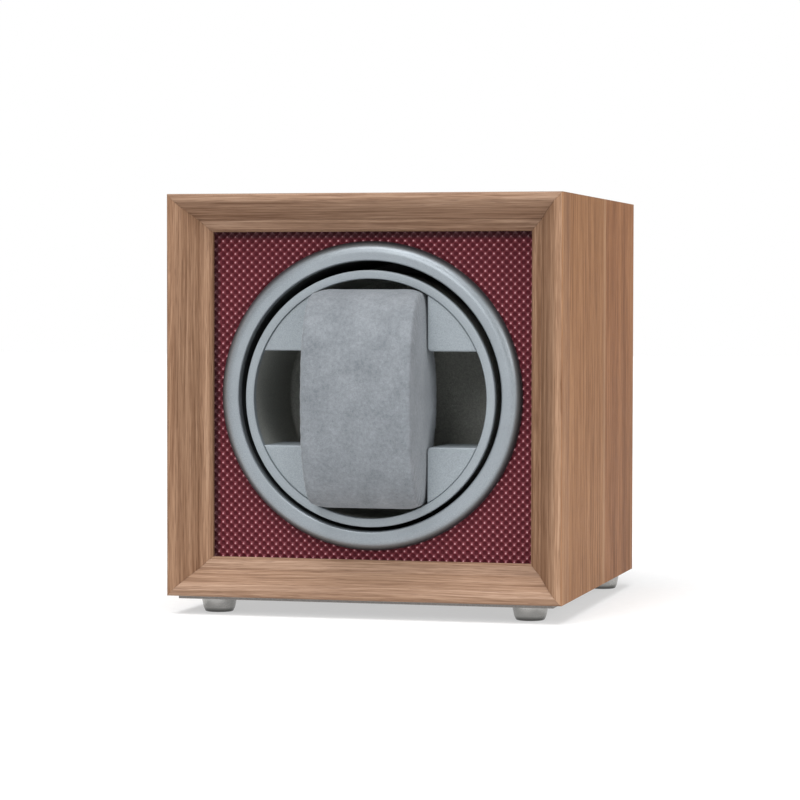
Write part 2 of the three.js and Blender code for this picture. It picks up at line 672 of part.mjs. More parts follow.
function circuit() {
  const { width, height, front, back } = CIRCUIT_BOARD;
  const card = box([-width / 2, width / 2], [front, back], [PLATE_Z - height / 2, PLATE_Z + height / 2]);
  const start = MOTOR.back + REST_GAP;
  const run = front - LEAD_GAP - start;
  const routePoint = ([x, z, share]) =>
    new THREE.Vector3(PINION_X + x, toY(start + share * run), PINION_Z + z);
  const route = new THREE.CatmullRomCurve3(LEAD_ROUTE.map(routePoint));
  const settings = { extrudePath: route, steps: LEAD_STEPS, curveSegments: LEAD_SEGMENTS };
  return [
    mesh("control_board", card, circuitBoard),
    mesh("motor_lead", new THREE.ExtrudeGeometry(circle(LEAD_RADIUS), settings), leadJacket),
  ];
}

// The rotary switch is fixed to the board, and its shaft carries the knob.
function modeSwitch() {
  const half = SWITCH.size / 2;
  const width = [SWITCH.x - half, SWITCH.x + half];
  const body = box(width, [CIRCUIT_BOARD.back, SWITCH.back], [PLATE_Z - half, PLATE_Z + half]);
  const radius = AXLE.radius + RUNNING_CLEARANCE;
  const bore = rod(radius, SWITCH.bore, SWITCH.back + CUT_PAST, TURNED_SEGMENTS, SWITCH.x, PLATE_Z);
  return mesh("mode_switch", cut(body, bore), blackPlastic);
}

function modeKnob() {
  const foot = PLATE_BACK + KNOB.lift;
  const top = foot + KNOB.height;
  const socketEnd = foot + KNOB.socket;
  const socket = AXLE.radius + REST_GAP;
  const profile = [[0, socketEnd], [socket, socketEnd], [socket, foot], [KNOB.radius, foot]];
  profile.push([KNOB.shoulder, top - KNOB.edge], [KNOB.top, top], [0, top]);
  const across = [-POINTER.width / 2, POINTER.width / 2];
  const groove = box(across, [top - POINTER.depth, top + CUT_PAST], [POINTER.start, KNOB.radius + CUT_PAST]);
  const end = socketEnd - REST_GAP;
  const knob = mesh("mode_knob", cut(turned(profile, KNOB_SEGMENTS), groove), blackPlastic);
  const shaft = mesh("mode_shaft", rod(AXLE.radius, SWITCH.bore + REST_GAP, end, TURNED_SEGMENTS), steel);
  const group = new THREE.Group().add(knob, shaft);
  group.position.set(SWITCH.x, 0, PLATE_Z);
  return group;
}

function powerSwitch() {
  const { x, width, height, flange, lip, pocket, pocketHeight } = ROCKER;
  const across = (half) => [x - half, x + half];
  const upright = (half) => [PLATE_Z - half, PLATE_Z + half];
  const body = box(across(width / 2), [CIRCUIT_BOARD.back, PLATE_BACK + lip / 2], upright(height / 2));
  const rim = box(
    across(width / 2 + flange),
    [PLATE_BACK, PLATE_BACK + lip],
    upright(height / 2 + flange),
  );
  const wellDepth = [ROCKER_PIVOT - ROCKER_WELL, PLATE_BACK + 2 * lip];
  const well = box(across(pocket / 2), wellDepth, upright(pocketHeight / 2));
  return mesh("power_switch_housing", cut(join(body, rim), well), blackPlastic);
}

// The rocker's face is two planes that meet over its pivot, so one half stands out while the
// other is level with the housing.
function powerRocker() {
  const mirrored = ROCKER_HALF.slice(1).map(([y, z]) => [y, -z]).toReversed();
  const corners = [...ROCKER_HALF, ...mirrored].map(([y, z]) => new THREE.Vector2(y, z));
  const section = new THREE.Shape(corners);
  const halfWidth = ROCKER.pocket / 2 - REST_GAP;
  const rocker = mesh("power_rocker", acrossX(section, -halfWidth, halfWidth), blackPlastic);
  rocker.rotation.x = -ROCKER_TILT;
  rocker.position.set(ROCKER.x, toY(ROCKER_PIVOT), PLATE_Z);
  return rocker;
}

// The socket faces the back, with its pin inside it.
function dcJack() {
  const mouth = PLATE_BACK + JACK.lip;
  const bottom = mouth - JACK.depth;
  const pinEnd = mouth - JACK.pinRecess;
  const profile = [
    [0, CIRCUIT_BOARD.back], [JACK.radius, CIRCUIT_BOARD.back], [JACK.radius, PLATE_BACK],
    [JACK.flange, PLATE_BACK], [JACK.flange, mouth], [JACK.bore, mouth], [JACK.bore, bottom],
    [JACK.pin, bottom], [JACK.pin, pinEnd], [0, pinEnd],
  ];
  return mesh("dc_jack", turned(profile, TURNED_SEGMENTS, JACK.x, PLATE_Z), blackPlastic);
}

// ---------------------------------------------------------------- assembly

function cabinet() {
  const group = new THREE.Group();
  group.add(...cabinetBoards(), ...cornerCleats(), backPanel(), baseSheet());
  group.add(...FEET.flatMap(foot));
  group.add(...frontFrame(), ...fascia(), bezelRing(), tunnelSleeve());
  group.add(bulkhead(), bearingBush(), ...gearmotor());
  group.add(controlPlate(), ...circuit(), modeSwitch(), powerSwitch(), dcJack());
  return group;
}

function drum() {
  const group = new THREE.Group();
  group.add(...drumShell(), ...cornerBlocks(), drumGear(), ...drumAxle());
  group.add(...pillowBand(), ...pillowEnds());
  group.position.z = DRUM_Z;
  return group;
}

function pinion() {
  const gapTowardsDrum = MESH_DIRECTION + Math.PI + Math.PI / PINION_TEETH;
  const outline = gearOutline(PINION_TEETH, gapTowardsDrum, SHAFT.radius + REST_GAP);
  const shaft = rod(SHAFT.radius, SHAFT.front, SHAFT.back, TURNED_SEGMENTS);
  const group = new THREE.Group().add(
    mesh("pinion", plate(outline, GEAR.front, GEAR.back, TOOTH_SEGMENTS), brass),
    mesh("motor_shaft", shaft, steel),
  );
  group.position.set(PINION_X, 0, PINION_Z);
  return group;
}

const watchWinder = new THREE.Group();
watchWinder.add(cabinet(), drum(), pinion(), modeKnob(), powerRocker());

export default watchWinder;
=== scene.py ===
# The looks of a single watch winder: a square walnut box on four feet, whose round drum carries a
# suede watch pillow. Lengths are in millimetres and are turned into metres as a mesh is made.
# X runs to the right, Z upwards, and depth runs back from the front plane of the wooden frame.

import math

import bmesh
import bpy
import numpy as np
from mathutils import Matrix, Vector
from mathutils.geometry import tessellate_polygon


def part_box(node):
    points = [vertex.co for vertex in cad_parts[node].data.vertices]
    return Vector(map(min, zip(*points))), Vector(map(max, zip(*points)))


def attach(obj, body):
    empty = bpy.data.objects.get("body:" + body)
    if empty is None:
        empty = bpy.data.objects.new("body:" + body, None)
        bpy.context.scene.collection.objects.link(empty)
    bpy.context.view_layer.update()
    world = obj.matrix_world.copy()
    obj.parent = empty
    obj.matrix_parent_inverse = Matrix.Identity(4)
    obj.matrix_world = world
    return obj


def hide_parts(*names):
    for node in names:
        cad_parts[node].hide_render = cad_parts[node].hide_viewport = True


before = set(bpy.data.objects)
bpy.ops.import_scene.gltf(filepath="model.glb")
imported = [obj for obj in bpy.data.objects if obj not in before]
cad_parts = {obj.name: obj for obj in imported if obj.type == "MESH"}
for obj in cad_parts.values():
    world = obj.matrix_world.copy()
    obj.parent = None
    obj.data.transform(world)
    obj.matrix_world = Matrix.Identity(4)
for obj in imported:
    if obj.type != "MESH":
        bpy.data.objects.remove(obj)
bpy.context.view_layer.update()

MM = 0.001


# ---------------------------------------------------------------- places in the frame

def limits(node):
    """A CAD node's box as [(x0, x1), (y0, y1), (z0, z1)]."""
    low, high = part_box(node)
    return [(a / MM, b / MM) for a, b in zip(low, high)]


def middle(node, axis):
    return sum(limits(node)[axis]) / 2


HALF = limits("frame_stile_right")[0][1]
FRONT = limits("frame_stile_right")[1][0]
FRAME_DEPTH = limits("frame_stile_right")[1][1] - FRONT
BACK = limits("cabinet_back")[1][1] - FRONT
BEZEL_Z = middle("bezel_ring", 2)
DRUM_Z = middle("drum_rim", 2)
PLATE_Z = middle("control_plate", 2)
PLATE_FRONT = limits("control_plate")[1][0] - FRONT
PLATE_BACK = limits("control_plate")[1][1] - FRONT
FOOT_TOP = limits("base_sheet")[2][0]

WALL = 6
BACK_PANEL = 5
MITRE = 0.03  # half the fine joint line where two mitred lengths meet
FRAME_OPENING = 50.9
DOME_PITCH = 2.67
DOME_HEIGHT = 0.5
DOME_STEPS = 10
COVER_FRONT = 0.55  # how far the leatherette's ground lies behind the moulding's back
COVER_HOLE = 45.4  # its hole, which the bezel ring hides
BEZEL = {"outer": 48, "inner": 41.9, "shoulder": 44.2, "front": 9.2}
TUNNEL_OUTER = 43.4
RIM = {"outer": 39.8, "inner": 37.1}
BLOCK = {"radius": 37.05, "slot": 18.4, "window": 14.75, "corner": 1.3}
PILLOW = {"height": 33.8, "depth": 18, "centre": 10, "roundness": 2.4, "width": 18.2, "seam": 17.3}
PILLOW_ROUND = 36.8  # the pillow's long corners stay inside this radius about the drum's axis


# ---------------------------------------------------------------- materials

class Finish:
    """A Principled material with procedural nodes in the object's own coordinates."""

    def __init__(self, name, **sockets):
        self.material = bpy.data.materials.new(name)
        self.material.use_nodes = True
        self.tree = self.material.node_tree
        self.shader = self.tree.nodes["Principled BSDF"]
        self.coordinates = self.node("ShaderNodeTexCoord").outputs["Object"]
        for socket, value in sockets.items():
            self.shader.inputs[socket.replace("_", " ")].default_value = value

    def node(self, kind, inputs=(), **settings):
        made = self.tree.nodes.new(kind)
        for key, value in settings.items():
            setattr(made, key, value)
        for key, value in dict(inputs).items():
            if isinstance(value, bpy.types.NodeSocket):
                self.tree.links.new(value, made.inputs[key])
            else:
                made.inputs[key].default_value = value
        return made

    def stretched(self, x, y, z, shift=(0, 0, 0), of=None):
        """The coordinates times x, y and z, so that a length of 1 / x metres becomes 1."""
        inputs = {"Vector": of or self.coordinates, "Scale": (x, y, z), "Location": shift}
        return self.node("ShaderNodeMapping", inputs).outputs["Vector"]

    def noise(self, vector, scale=1.0, detail=3.0, roughness=0.5):
        inputs = {"Vector": vector, "Scale": scale, "Detail": detail, "Roughness": roughness}
        return self.node("ShaderNodeTexNoise", inputs).outputs["Fac"]

    def cells(self, vector, scale):
        inputs = {"Vector": vector, "Scale": scale}
        return self.node("ShaderNodeTexVoronoi", inputs).outputs["Distance"]

    def maths(self, operation, a, b=0.0):
        return self.node("ShaderNodeMath", {0: a, 1: b}, operation=operation).outputs[0]

    def blend(self, *parts):
        """The sum of (value, share) parts."""
        shares = [self.maths("MULTIPLY", value, share) for value, share in parts]
        total = shares[0]
        for share in shares[1:]:
            total = self.maths("ADD", total, share)
        return total

    def between(self, value, low, high, to_low=0.0, to_high=1.0):
        """value carried from low..high to to_low..to_high, and held there beyond them."""
        inputs = {"Value": value, "From Min": low, "From Max": high}
        inputs |= {"To Min": to_low, "To Max": to_high}
        return self.node("ShaderNodeMapRange", inputs).outputs["Result"]

    def ramp(self, factor, stops):
        made = self.node("ShaderNodeValToRGB", {"Fac": factor})
        elements = made.color_ramp.elements
        for place, color in stops[2:]:
            elements.new(place).color = (*color, 1)
        for element, (place, color) in zip((elements[0], elements[-1]), (stops[0], stops[1])):
            element.position = place
            element.color = (*color, 1)
        return made.outputs["Color"]

    def mix(self, factor, a, b, blend="MIX"):
        made = self.node("ShaderNodeMix", data_type="RGBA", blend_type=blend)
        for index, value in ((0, factor), (6, a), (7, b)):
            if isinstance(value, bpy.types.NodeSocket):
                self.tree.links.new(value, made.inputs[index])
            elif index == 0:
                made.inputs[index].default_value = value
            else:
                made.inputs[index].default_value = (*value, 1)
        return made.outputs[2]

    def set(self, socket, value):
        self.tree.links.new(value, self.shader.inputs[socket])

    def bump(self, height, distance, strength=1.0, edge=0.0):
        """Fine relief of that height in millimetres, and corners eased by an edge radius."""
        inputs = {"Height": height, "Distance": distance * MM, "Strength": strength}
        if edge:
            rounded = self.node("ShaderNodeBevel", {"Radius": edge * MM}, samples=4)
            inputs["Normal"] = rounded.outputs["Normal"]
        self.set("Normal", self.node("ShaderNodeBump", inputs).outputs["Normal"])


def walnut(name, along, seed, tint=(1.0, 1.0, 1.0), side_tint=None, joint=None, specular=0.3):
    """Pale walnut veneer whose grain runs along one axis.

    It can have another tint on the cabinet's sides, and be laid in two leaves that meet at a joint.
    """
    finish = Finish(name, Specular_IOR_Level=specular)
    seeds = (seed * 1.7, seed * 2.3, seed * 3.1)

    def grain(across, length, of=None):
        scales = [across, across, across]
        scales["XYZ".index(along)] = length
        return finish.stretched(*scales, shift=seeds, of=of)

    wander = finish.noise(grain(26, 9), detail=2)
    swung = finish.node(
        "ShaderNodeVectorMath",
        {0: finish.coordinates, 1: finish.between(wander, 0, 1, -0.002, 0.002)},
        operation="ADD",
    ).outputs[0]

    bands = finish.noise(grain(90, 5, swung), detail=3, roughness=0.6)
    streaks = finish.noise(grain(1150, 22, swung), detail=4, roughness=0.65)
    fibres = finish.noise(grain(2600, 90), detail=3, roughness=0.6)
    pores = finish.noise(grain(3000, 160), detail=1)
    pits = finish.between(pores, 0.60, 0.70)
    color = finish.ramp(
        finish.blend((bands, 0.26), (streaks, 0.46), (fibres, 0.28)),
        [
            (0.40, (0.155, 0.082, 0.046)),
            (0.61, (0.390, 0.255, 0.176)),
            (0.465, (0.232, 0.135, 0.084)),
            (0.535, (0.302, 0.187, 0.121)),
        ],
    )
    veneer = finish.mix(finish.maths("MULTIPLY", pits, 0.45), color, (0.15, 0.08, 0.05))
    color = finish.mix(1.0, veneer, tint, "MULTIPLY")
    if side_tint:
        x = finish.node("ShaderNodeSeparateXYZ", {0: finish.coordinates}).outputs["X"]
        outer = finish.between(finish.maths("ABSOLUTE", x), (HALF - 0.3) * MM, (HALF - 0.05) * MM)
        color = finish.mix(outer, color, finish.mix(1.0, veneer, side_tint, "MULTIPLY"))
    if joint is not None:
        y = finish.node("ShaderNodeSeparateXYZ", {0: finish.coordinates}).outputs["Y"]
        beyond = finish.between(y, joint * MM, (joint + 0.6) * MM)
        beside = finish.maths("SUBTRACT", finish.between(y, (joint - 5) * MM, (joint - 2) * MM), beyond)
        color = finish.mix(finish.maths("MULTIPLY", beside, 0.3), color, (0.42, 0.27, 0.17))
        color = finish.mix(beyond, color, finish.mix(1.0, color, (0.93, 0.86, 0.84), "MULTIPLY"))
    finish.set("Base Color", color)
    finish.set("Roughness", finish.between(streaks, 0.3, 0.7, 0.62, 0.5))
    relief = finish.maths("SUBTRACT", finish.maths("MULTIPLY", fibres, 0.4), pits)
    finish.bump(relief, 0.05, 0.7)
    return finish.material


def paint(name, color, roughness, metallic, shade_edge_radius=None):
    """Satin lacquer with a fine metallic fleck and a faint orange peel.

    Given an edge radius, the colour darkens towards that radius about the bezel's axis: painted shade along
    the ring's outer edge.
    """
    finish = Finish(name, Metallic=metallic)
    fleck = finish.noise(finish.coordinates, 5200, detail=2)
    cloud = finish.noise(finish.coordinates, 60, detail=2)
    peel = finish.noise(finish.coordinates, 700, detail=2)
    dark, light = [c * 0.78 for c in color], [min(1, c * 1.22) for c in color]
    clouded = finish.mix(finish.between(cloud, 0.3, 0.7), dark, light)
    flecked = finish.mix(finish.between(fleck, 0.35, 0.65), dark, light)
    coat_and_shade = finish.mix(0.75, clouded, flecked)
    # Painted shade: the colour darkens to a fifth over the last two millimetres before the edge radius.
    if shade_edge_radius is not None:
        parts = finish.node("ShaderNodeSeparateXYZ", {0: finish.coordinates}).outputs
        above = finish.maths("SUBTRACT", parts["Z"], BEZEL_Z * MM)
        squares = finish.maths("MULTIPLY", parts["X"], parts["X"])
        squares = finish.maths("ADD", squares, finish.maths("MULTIPLY", above, above))
        radius = finish.maths("SQRT", squares)
        edge_shade = finish.between(radius, (shade_edge_radius - 2.0) * MM, (shade_edge_radius - 0.3) * MM)
        coat_and_shade = finish.mix(edge_shade, coat_and_shade, [c * 0.2 for c in color])
    finish.set("Base Color", coat_and_shade)
    finish.set("Roughness", finish.between(fleck, 0.3, 0.7, roughness - 0.06, roughness + 0.08))
    relief = finish.maths("ADD", finish.maths("MULTIPLY", fleck, 0.5), peel)
    finish.bump(relief, 0.02)
    return finish.material


def plastic(name, color, roughness=0.45, grain=0.03):
    """Moulded plastic with a spark-eroded grain and slightly eased corners."""
    finish = Finish(name)
    fine = finish.noise(finish.coordinates, 2400, detail=3)
    wide = finish.noise(finish.coordinates, 45, detail=2)
    worn = finish.between(wide, 0.3, 0.75, 0.85, 1.25)
    light = [min(1, c * 1.5 + 0.004) for c in color]
    finish.set("Base Color", finish.mix(finish.between(fine, 0.35, 0.75), color, light))
    finish.set("Roughness", finish.maths("MULTIPLY", worn, roughness))
    finish.bump(fine, grain, edge=0.15)
    return finish.material


def metal(name, color, roughness=0.3, brushed="Z", metallic=1.0, shade_below=None):
    """Turned or rolled metal with fine tool marks along one axis, and painted shade darkening it below a
    height.
    """
    finish = Finish(name, Metallic=metallic)
    scales = [1500, 1500, 1500]
    scales["XYZ".index(brushed)] = 60
    marks = finish.noise(finish.stretched(*scales), detail=3)
    stain = finish.noise(finish.coordinates, 120, detail=3)
    dull = [c * 0.72 for c in color]
    stain_and_shade = finish.mix(finish.between(stain, 0.35, 0.8), color, dull)
    # Painted shade: the colour darkens to under a third towards the floor, below the given height.
    if shade_below:
        height = finish.node("ShaderNodeSeparateXYZ", {0: finish.coordinates}).outputs["Z"]
        low = finish.between(height, shade_below * MM * 0.4, shade_below * MM, 1.0, 0.0)
        stain_and_shade = finish.mix(low, stain_and_shade, [c * 0.3 for c in color])
    finish.set("Base Color", stain_and_shade)
    finish.set("Roughness", finish.between(marks, 0.3, 0.7, roughness - 0.07, roughness + 0.1))
    finish.bump(marks, 0.01, edge=0.12)
    return finish.material


def suede_finish():
    """Brushed grey suede: a short nap, smudged into lighter and darker patches."""
    finish = Finish(
        "suede",
        Sheen_Weight=0.35,
        Sheen_Roughness=0.45,
        Specular_IOR_Level=0.2,
        Sheen_Tint=(0.8, 0.86, 0.92, 1),
    )
    smudge = finish.noise(finish.coordinates, 120, detail=4, roughness=0.6)
    mottle = finish.noise(finish.coordinates, 900, detail=4, roughness=0.7)
    nap = finish.noise(finish.stretched(5200, 5200, 2600), detail=2)
    tone = finish.blend((smudge, 0.35), (mottle, 0.4), (nap, 0.25))
    stops = [(0.36, (0.125, 0.138, 0.152)), (0.64, (0.238, 0.256, 0.275))]
    finish.set("Base Color", finish.ramp(tone, stops))
    finish.set("Roughness", finish.between(mottle, 0.3, 0.7, 0.8, 0.95))
    relief = finish.maths("ADD", finish.maths("MULTIPLY", mottle, 0.6), nap)
    finish.bump(relief, 0.12, 0.8)
    return finish.material


def leatherette_finish():
    """Burgundy embossed leatherette with painted highlights on the dome tips, painted shade between the
    domes, a fine wrinkle and a painted shadow along the top and left edges of the opening.
    """
    finish = Finish("leatherette", Specular_IOR_Level=0.2)
    skin = finish.cells(finish.coordinates, 4200)
    cloud = finish.noise(finish.coordinates, 150, detail=3)
    parts = finish.node("ShaderNodeSeparateXYZ", {0: finish.coordinates}).outputs
    period = 2 * math.pi / (DOME_PITCH * MM)
    across = finish.maths("COSINE", finish.maths("MULTIPLY", parts["X"], period))
    above = finish.maths("SUBTRACT", parts["Z"], BEZEL_Z * MM)
    upright = finish.maths("COSINE", finish.maths("MULTIPLY", above, period))
    dome = finish.between(finish.maths("MULTIPLY", across, upright), -0.35, 1.0)
    # Painted light: the colour darkens into the gaps between the domes as painted shade and lightens on
    # their tips as a painted highlight.
    color = finish.ramp(
        dome,
        [
            (0.0, (0.068, 0.0065, 0.0120)),
            (1.0, (0.580, 0.310, 0.340)),
            (0.3, (0.108, 0.0125, 0.0205)),
            (0.70, (0.145, 0.023, 0.032)),
            (0.86, (0.265, 0.092, 0.110)),
        ],
    )
    shade = finish.between(cloud, 0.3, 0.7, 0.0, 0.22)
    color = finish.mix(shade, color, (0.06, 0.006, 0.012))
    # Painted shadow: a dark band along the left and top edges of the opening, where the moulding's lip
    # shades the leatherette.
    left = finish.between(parts["X"], -(FRAME_OPENING - 0.9) * MM, -(FRAME_OPENING - 2.2) * MM)
    below = finish.between(above, (FRAME_OPENING - 1.4) * MM, (FRAME_OPENING - 2.8) * MM)
    lip_shadow = finish.maths("SUBTRACT", 1.0, finish.maths("MULTIPLY", left, below))
    color = finish.mix(finish.maths("MULTIPLY", lip_shadow, 0.8), color, (0.020, 0.002, 0.004))
    finish.set("Base Color", color)
    gloss = finish.between(dome, 0.0, 0.6, 0.8, 0.22)
    finish.set("Roughness", finish.maths("ADD", gloss, finish.maths("MULTIPLY", skin, 0.06)))
    finish.bump(skin, 0.015)
    return finish.material


def plain_wood(name, color, along):
    """Undressed softwood or board, for what is hidden inside."""
    finish = Finish(name)
    scales = [500, 500, 500]
    scales["XYZ".index(along)] = 14
    grain = finish.noise(finish.stretched(*scales), detail=4)
    dark = [c * 0.6 for c in color]
    finish.set("Base Color", finish.mix(finish.between(grain, 0.4, 0.7), color, dark))
    finish.set("Roughness", finish.between(grain, 0.3, 0.7, 0.9, 0.75))
    finish.bump(grain, 0.08, edge=0.2)
    return finish.material


def printed_circuit():
    """Green solder mask with copper tracks that show through it."""
    finish = Finish("circuit_board")
    tracks = finish.node(
        "ShaderNodeTexBrick",
        {"Vector": finish.coordinates, "Scale": 420.0, "Mortar Size": 0.05},
    ).outputs["Fac"]
    weave = finish.noise(finish.coordinates, 1800, detail=2)
    mask = finish.ramp(weave, [(0.3, (0.012, 0.10, 0.045)), (0.7, (0.02, 0.15, 0.07))])
    finish.set("Base Color", finish.mix(tracks, mask, (0.05, 0.22, 0.09)))
    finish.set("Roughness", finish.between(weave, 0.3, 0.7, 0.3, 0.45))
    finish.bump(tracks, 0.03)
    return finish.material


def felt(name, color):
    finish = Finish(name, Sheen_Weight=0.2)
    fibre = finish.noise(finish.coordinates, 1600, detail=5, roughness=0.75)
    light = [min(0.9, c * 1.5 + 0.01) for c in color]
    finish.set("Base Color", finish.mix(finish.between(fibre, 0.35, 0.7), color, light))
    finish.set("Roughness", finish.between(fibre, 0.3, 0.7, 0.85, 1.0))
    finish.bump(fibre, 0.15)
    return finish.material


SIDE_TINT = (1.08, 0.84, 0.56)
upright_walnut = walnut("walnut_upright", "Z", 1.0, (0.97, 0.91, 0.84), side_tint=SIDE_TINT, specular=0.2)
level_walnut = walnut("walnut_level", "X", 4.0, (0.97, 0.96, 0.95))
side_walnut = walnut("walnut_side", "Z", 1.0, (1.0, 0.92, 0.84), SIDE_TINT, joint=8, specular=0.1)
back_walnut = walnut("walnut_back", "Z", 6.0, (1.0, 0.92, 0.84))
# The silver paint darkens towards radius 48 as painted shade along the bezel ring's outer edge.
silver = paint("silver_paint", (0.275, 0.305, 0.33), roughness=0.36, metallic=0.6, shade_edge_radius=48)
drum_silver = paint("drum_paint", (0.255, 0.287, 0.31), roughness=0.5, metallic=0.15)
black = plastic("black_plastic", (0.012, 0.013, 0.014))
tunnel_black = plastic("tunnel_plastic", (0.022, 0.025, 0.028), roughness=0.4)
cup_grey = plastic("cup_plastic", (0.26, 0.265, 0.243), roughness=0.6, grain=0.05)
switch_black = plastic("switch_plastic", (0.014, 0.014, 0.015), roughness=0.3, grain=0.01)
white_ink = plastic("white_ink", (0.75, 0.75, 0.73), roughness=0.5)
suede = suede_finish()
leatherette = leatherette_finish()
pine = plain_wood("plain_wood", (0.52, 0.36, 0.21), "Y")
fibreboard = plain_wood("fibreboard", (0.30, 0.20, 0.12), "X")
foam = felt("foam", (0.55, 0.51, 0.42))
base_felt = felt("base_sheet_felt", (0.20, 0.193, 0.187))
# The feet darken below 1.5 mm as painted shade where they meet the floor.
foot_metal = metal("foot_metal", (0.42, 0.415, 0.40), roughness=0.2, brushed="X", metallic=0.95, shade_below=1.5)
steel = metal("steel", (0.55, 0.56, 0.57), roughness=0.28, brushed="X")
motor_steel = metal("motor_steel", (0.50, 0.50, 0.50), roughness=0.34, brushed="Y")
brass = metal("brass", (0.60, 0.40, 0.13), roughness=0.3, brushed="Y")
nylon = plastic("nylon", (0.66, 0.63, 0.55), roughness=0.5, grain=0.02)
circuit_green = printed_circuit()
lead_red = plastic("lead_jacket", (0.30, 0.012, 0.010), roughness=0.5)

# ---------------------------------------------------------------- meshes


def add(name, vertices, faces, material, body, replaces=(), slot=None, sharp=35, closed=True):
    """A piece from points in the row frame, in millimetres, that rides on a body."""
    data = bpy.data.meshes.new(name)
    data.from_pydata([Vector(v) * MM for v in vertices], [], faces)
    shaped = bmesh.new()
    shaped.from_mesh(data)
    bmesh.ops.remove_doubles(shaped, verts=shaped.verts, dist=0.0005 * MM)
    if closed:
        bmesh.ops.recalc_face_normals(shaped, faces=shaped.faces)
    shaped.to_mesh(data)
    shaped.free()
    return place(name, data, material, body, replaces, slot, sharp)


def place(name, data, material, body, replaces=(), slot=None, sharp=35):
    data.polygons.foreach_set("use_smooth", [True] * len(data.polygons))
    if sharp:
        data.set_sharp_from_angle(angle=math.radians(sharp))
    data.materials.clear()
    data.materials.append(material)
    piece = bpy.data.objects.new(name, data)
    bpy.context.scene.collection.objects.link(piece)
    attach(piece, body)
    if replaces:
        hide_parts(*replaces)
    return piece


def even_out(piece):
    """Shades flat faces flat beside small rounded edges."""
    piece.modifiers.new("normals", "WEIGHTED_NORMAL").keep_sharp = True


def rounded(corners, closed=True, steps=5):
    """A polyline through (u, v, radius) corners, each turned by an arc of its radius."""
    points = []
    for i, (u, v, radius) in enumerate(corners):
        if radius == 0 or (not closed and i in (0, len(corners) - 1)):
            points.append((u, v))
            continue
        here = Vector((u, v))
        before = Vector(corners[i - 1][:2]) - here
        after = Vector(corners[(i + 1) % len(corners)][:2]) - here
        half = before.angle(after) / 2
        reach = min(radius / math.tan(half), before.length * 0.49, after.length * 0.49)
        radius = reach * math.tan(half)
        start = here + before.normalized() * reach
        end = here + after.normalized() * reach
        toward = (before.normalized() + after.normalized()).normalized()
        centre = here + toward * (radius / math.sin(half))
        first = math.atan2(*(start - centre).yx)
        sweep = (math.atan2(*(end - centre).yx) - first + math.pi) % (2 * math.pi) - math.pi
        for k in range(steps + 1):
            angle = first + sweep * k / steps
            points.append((centre.x + radius * math.cos(angle), centre.y + radius * math.sin(angle)))
    return points


def lathe(profile, segments, x=0.0, z=0.0, upright=False, wave=None, closed=True):
    """Vertices and faces of a profile of (radius, depth or height) turned about its axis."""
    vertices, rows = [], []
    for radius, along in profile:
        row = []
        for k in range(1 if radius == 0 else segments):
            angle = 2 * math.pi * k / segments
            r = radius * (wave(angle, along) if wave else 1)
            across, up = r * math.cos(angle), r * math.sin(angle)
            row.append(len(vertices))
            point = (x + across, z + up, along) if upright else (x + across, FRONT + along, z + up)
            vertices.append(point)
        rows.append(row)
    faces = []
    pairs = list(zip(rows, rows[1:])) + ([(rows[-1], rows[0])] if closed else [])
    for first, second in pairs:
        for k in range(segments):
            n = (k + 1) % segments
            quad = [first[k % len(first)], first[n % len(first)]]
            quad += [second[n % len(second)], second[k % len(second)]]
            unique = list(dict.fromkeys(quad))
            if len(unique) > 2:
                faces.append(unique)
    return vertices, faces


def inset(outline, amount):
    """The outline moved to its left by an amount, so inwards if it runs anticlockwise."""
    moved = []
    for i, point in enumerate(outline):
        here = Vector(point)
        into = (here - Vector(outline[i - 1])).normalized()
        out = (Vector(outline[(i + 1) % len(outline)]) - here).normalized()
        left = Vector((-into.y - out.y, into.x + out.x)).normalized()
        scale = max(0.3, left.dot(Vector((-into.y, into.x))))
        moved.append(tuple(here + left * (amount / scale)))
    return moved


def slab(outline, depth0, depth1, edge, holes=(), steps=3):
    """Vertices and faces of a board cut to an outline in X and Z, with every corner eased.

    The outline runs anticlockwise and the holes clockwise.
    """
    layers = []
    for k in range(steps + 1):
        turn = math.pi / 2 * k / steps
        layers.append((edge * (1 - math.sin(turn)), depth0 + edge * (1 - math.cos(turn))))
    layers += [(back, depth1 - (depth - depth0)) for back, depth in reversed(layers)]
    vertices, faces, caps = [], [], [[], []]
    for loop in (outline, *holes):
        rings = []
        for amount, depth in layers:
            ring = inset(loop, amount) if amount > 1e-6 else loop
            rings.append(range(len(vertices), len(vertices) + len(loop)))
            vertices += [(x, FRONT + depth, z) for x, z in ring]
        for first, second in zip(rings, rings[1:]):
            for i in range(len(loop)):
                n = (i + 1) % len(loop)
                faces.append([first[i], first[n], second[n], second[i]])
        caps[0].append(rings[0])
        caps[1].append(rings[-1])
    for loops in caps:
        order = [index for ring in loops for index in ring]
        flat = [[Vector((vertices[i][0], vertices[i][2], 0)) for i in ring] for ring in loops]
        faces += [[order[i] for i in triangle] for triangle in tessellate_polygon(flat)]
    return vertices, faces


def block(x0, x1, z0, z1, radius=0.0, steps=6):
    corners = [(x0, z0, radius), (x1, z0, radius), (x1, z1, radius), (x0, z1, radius)]
    return rounded(corners, steps=steps)


def disc(radius, x, z, segments=64):
    """A round hole's outline, which runs clockwise."""
    angles = [-2 * math.pi * k / segments for k in range(segments)]
    return [(x + radius * math.cos(a), z + radius * math.sin(a)) for a in angles]


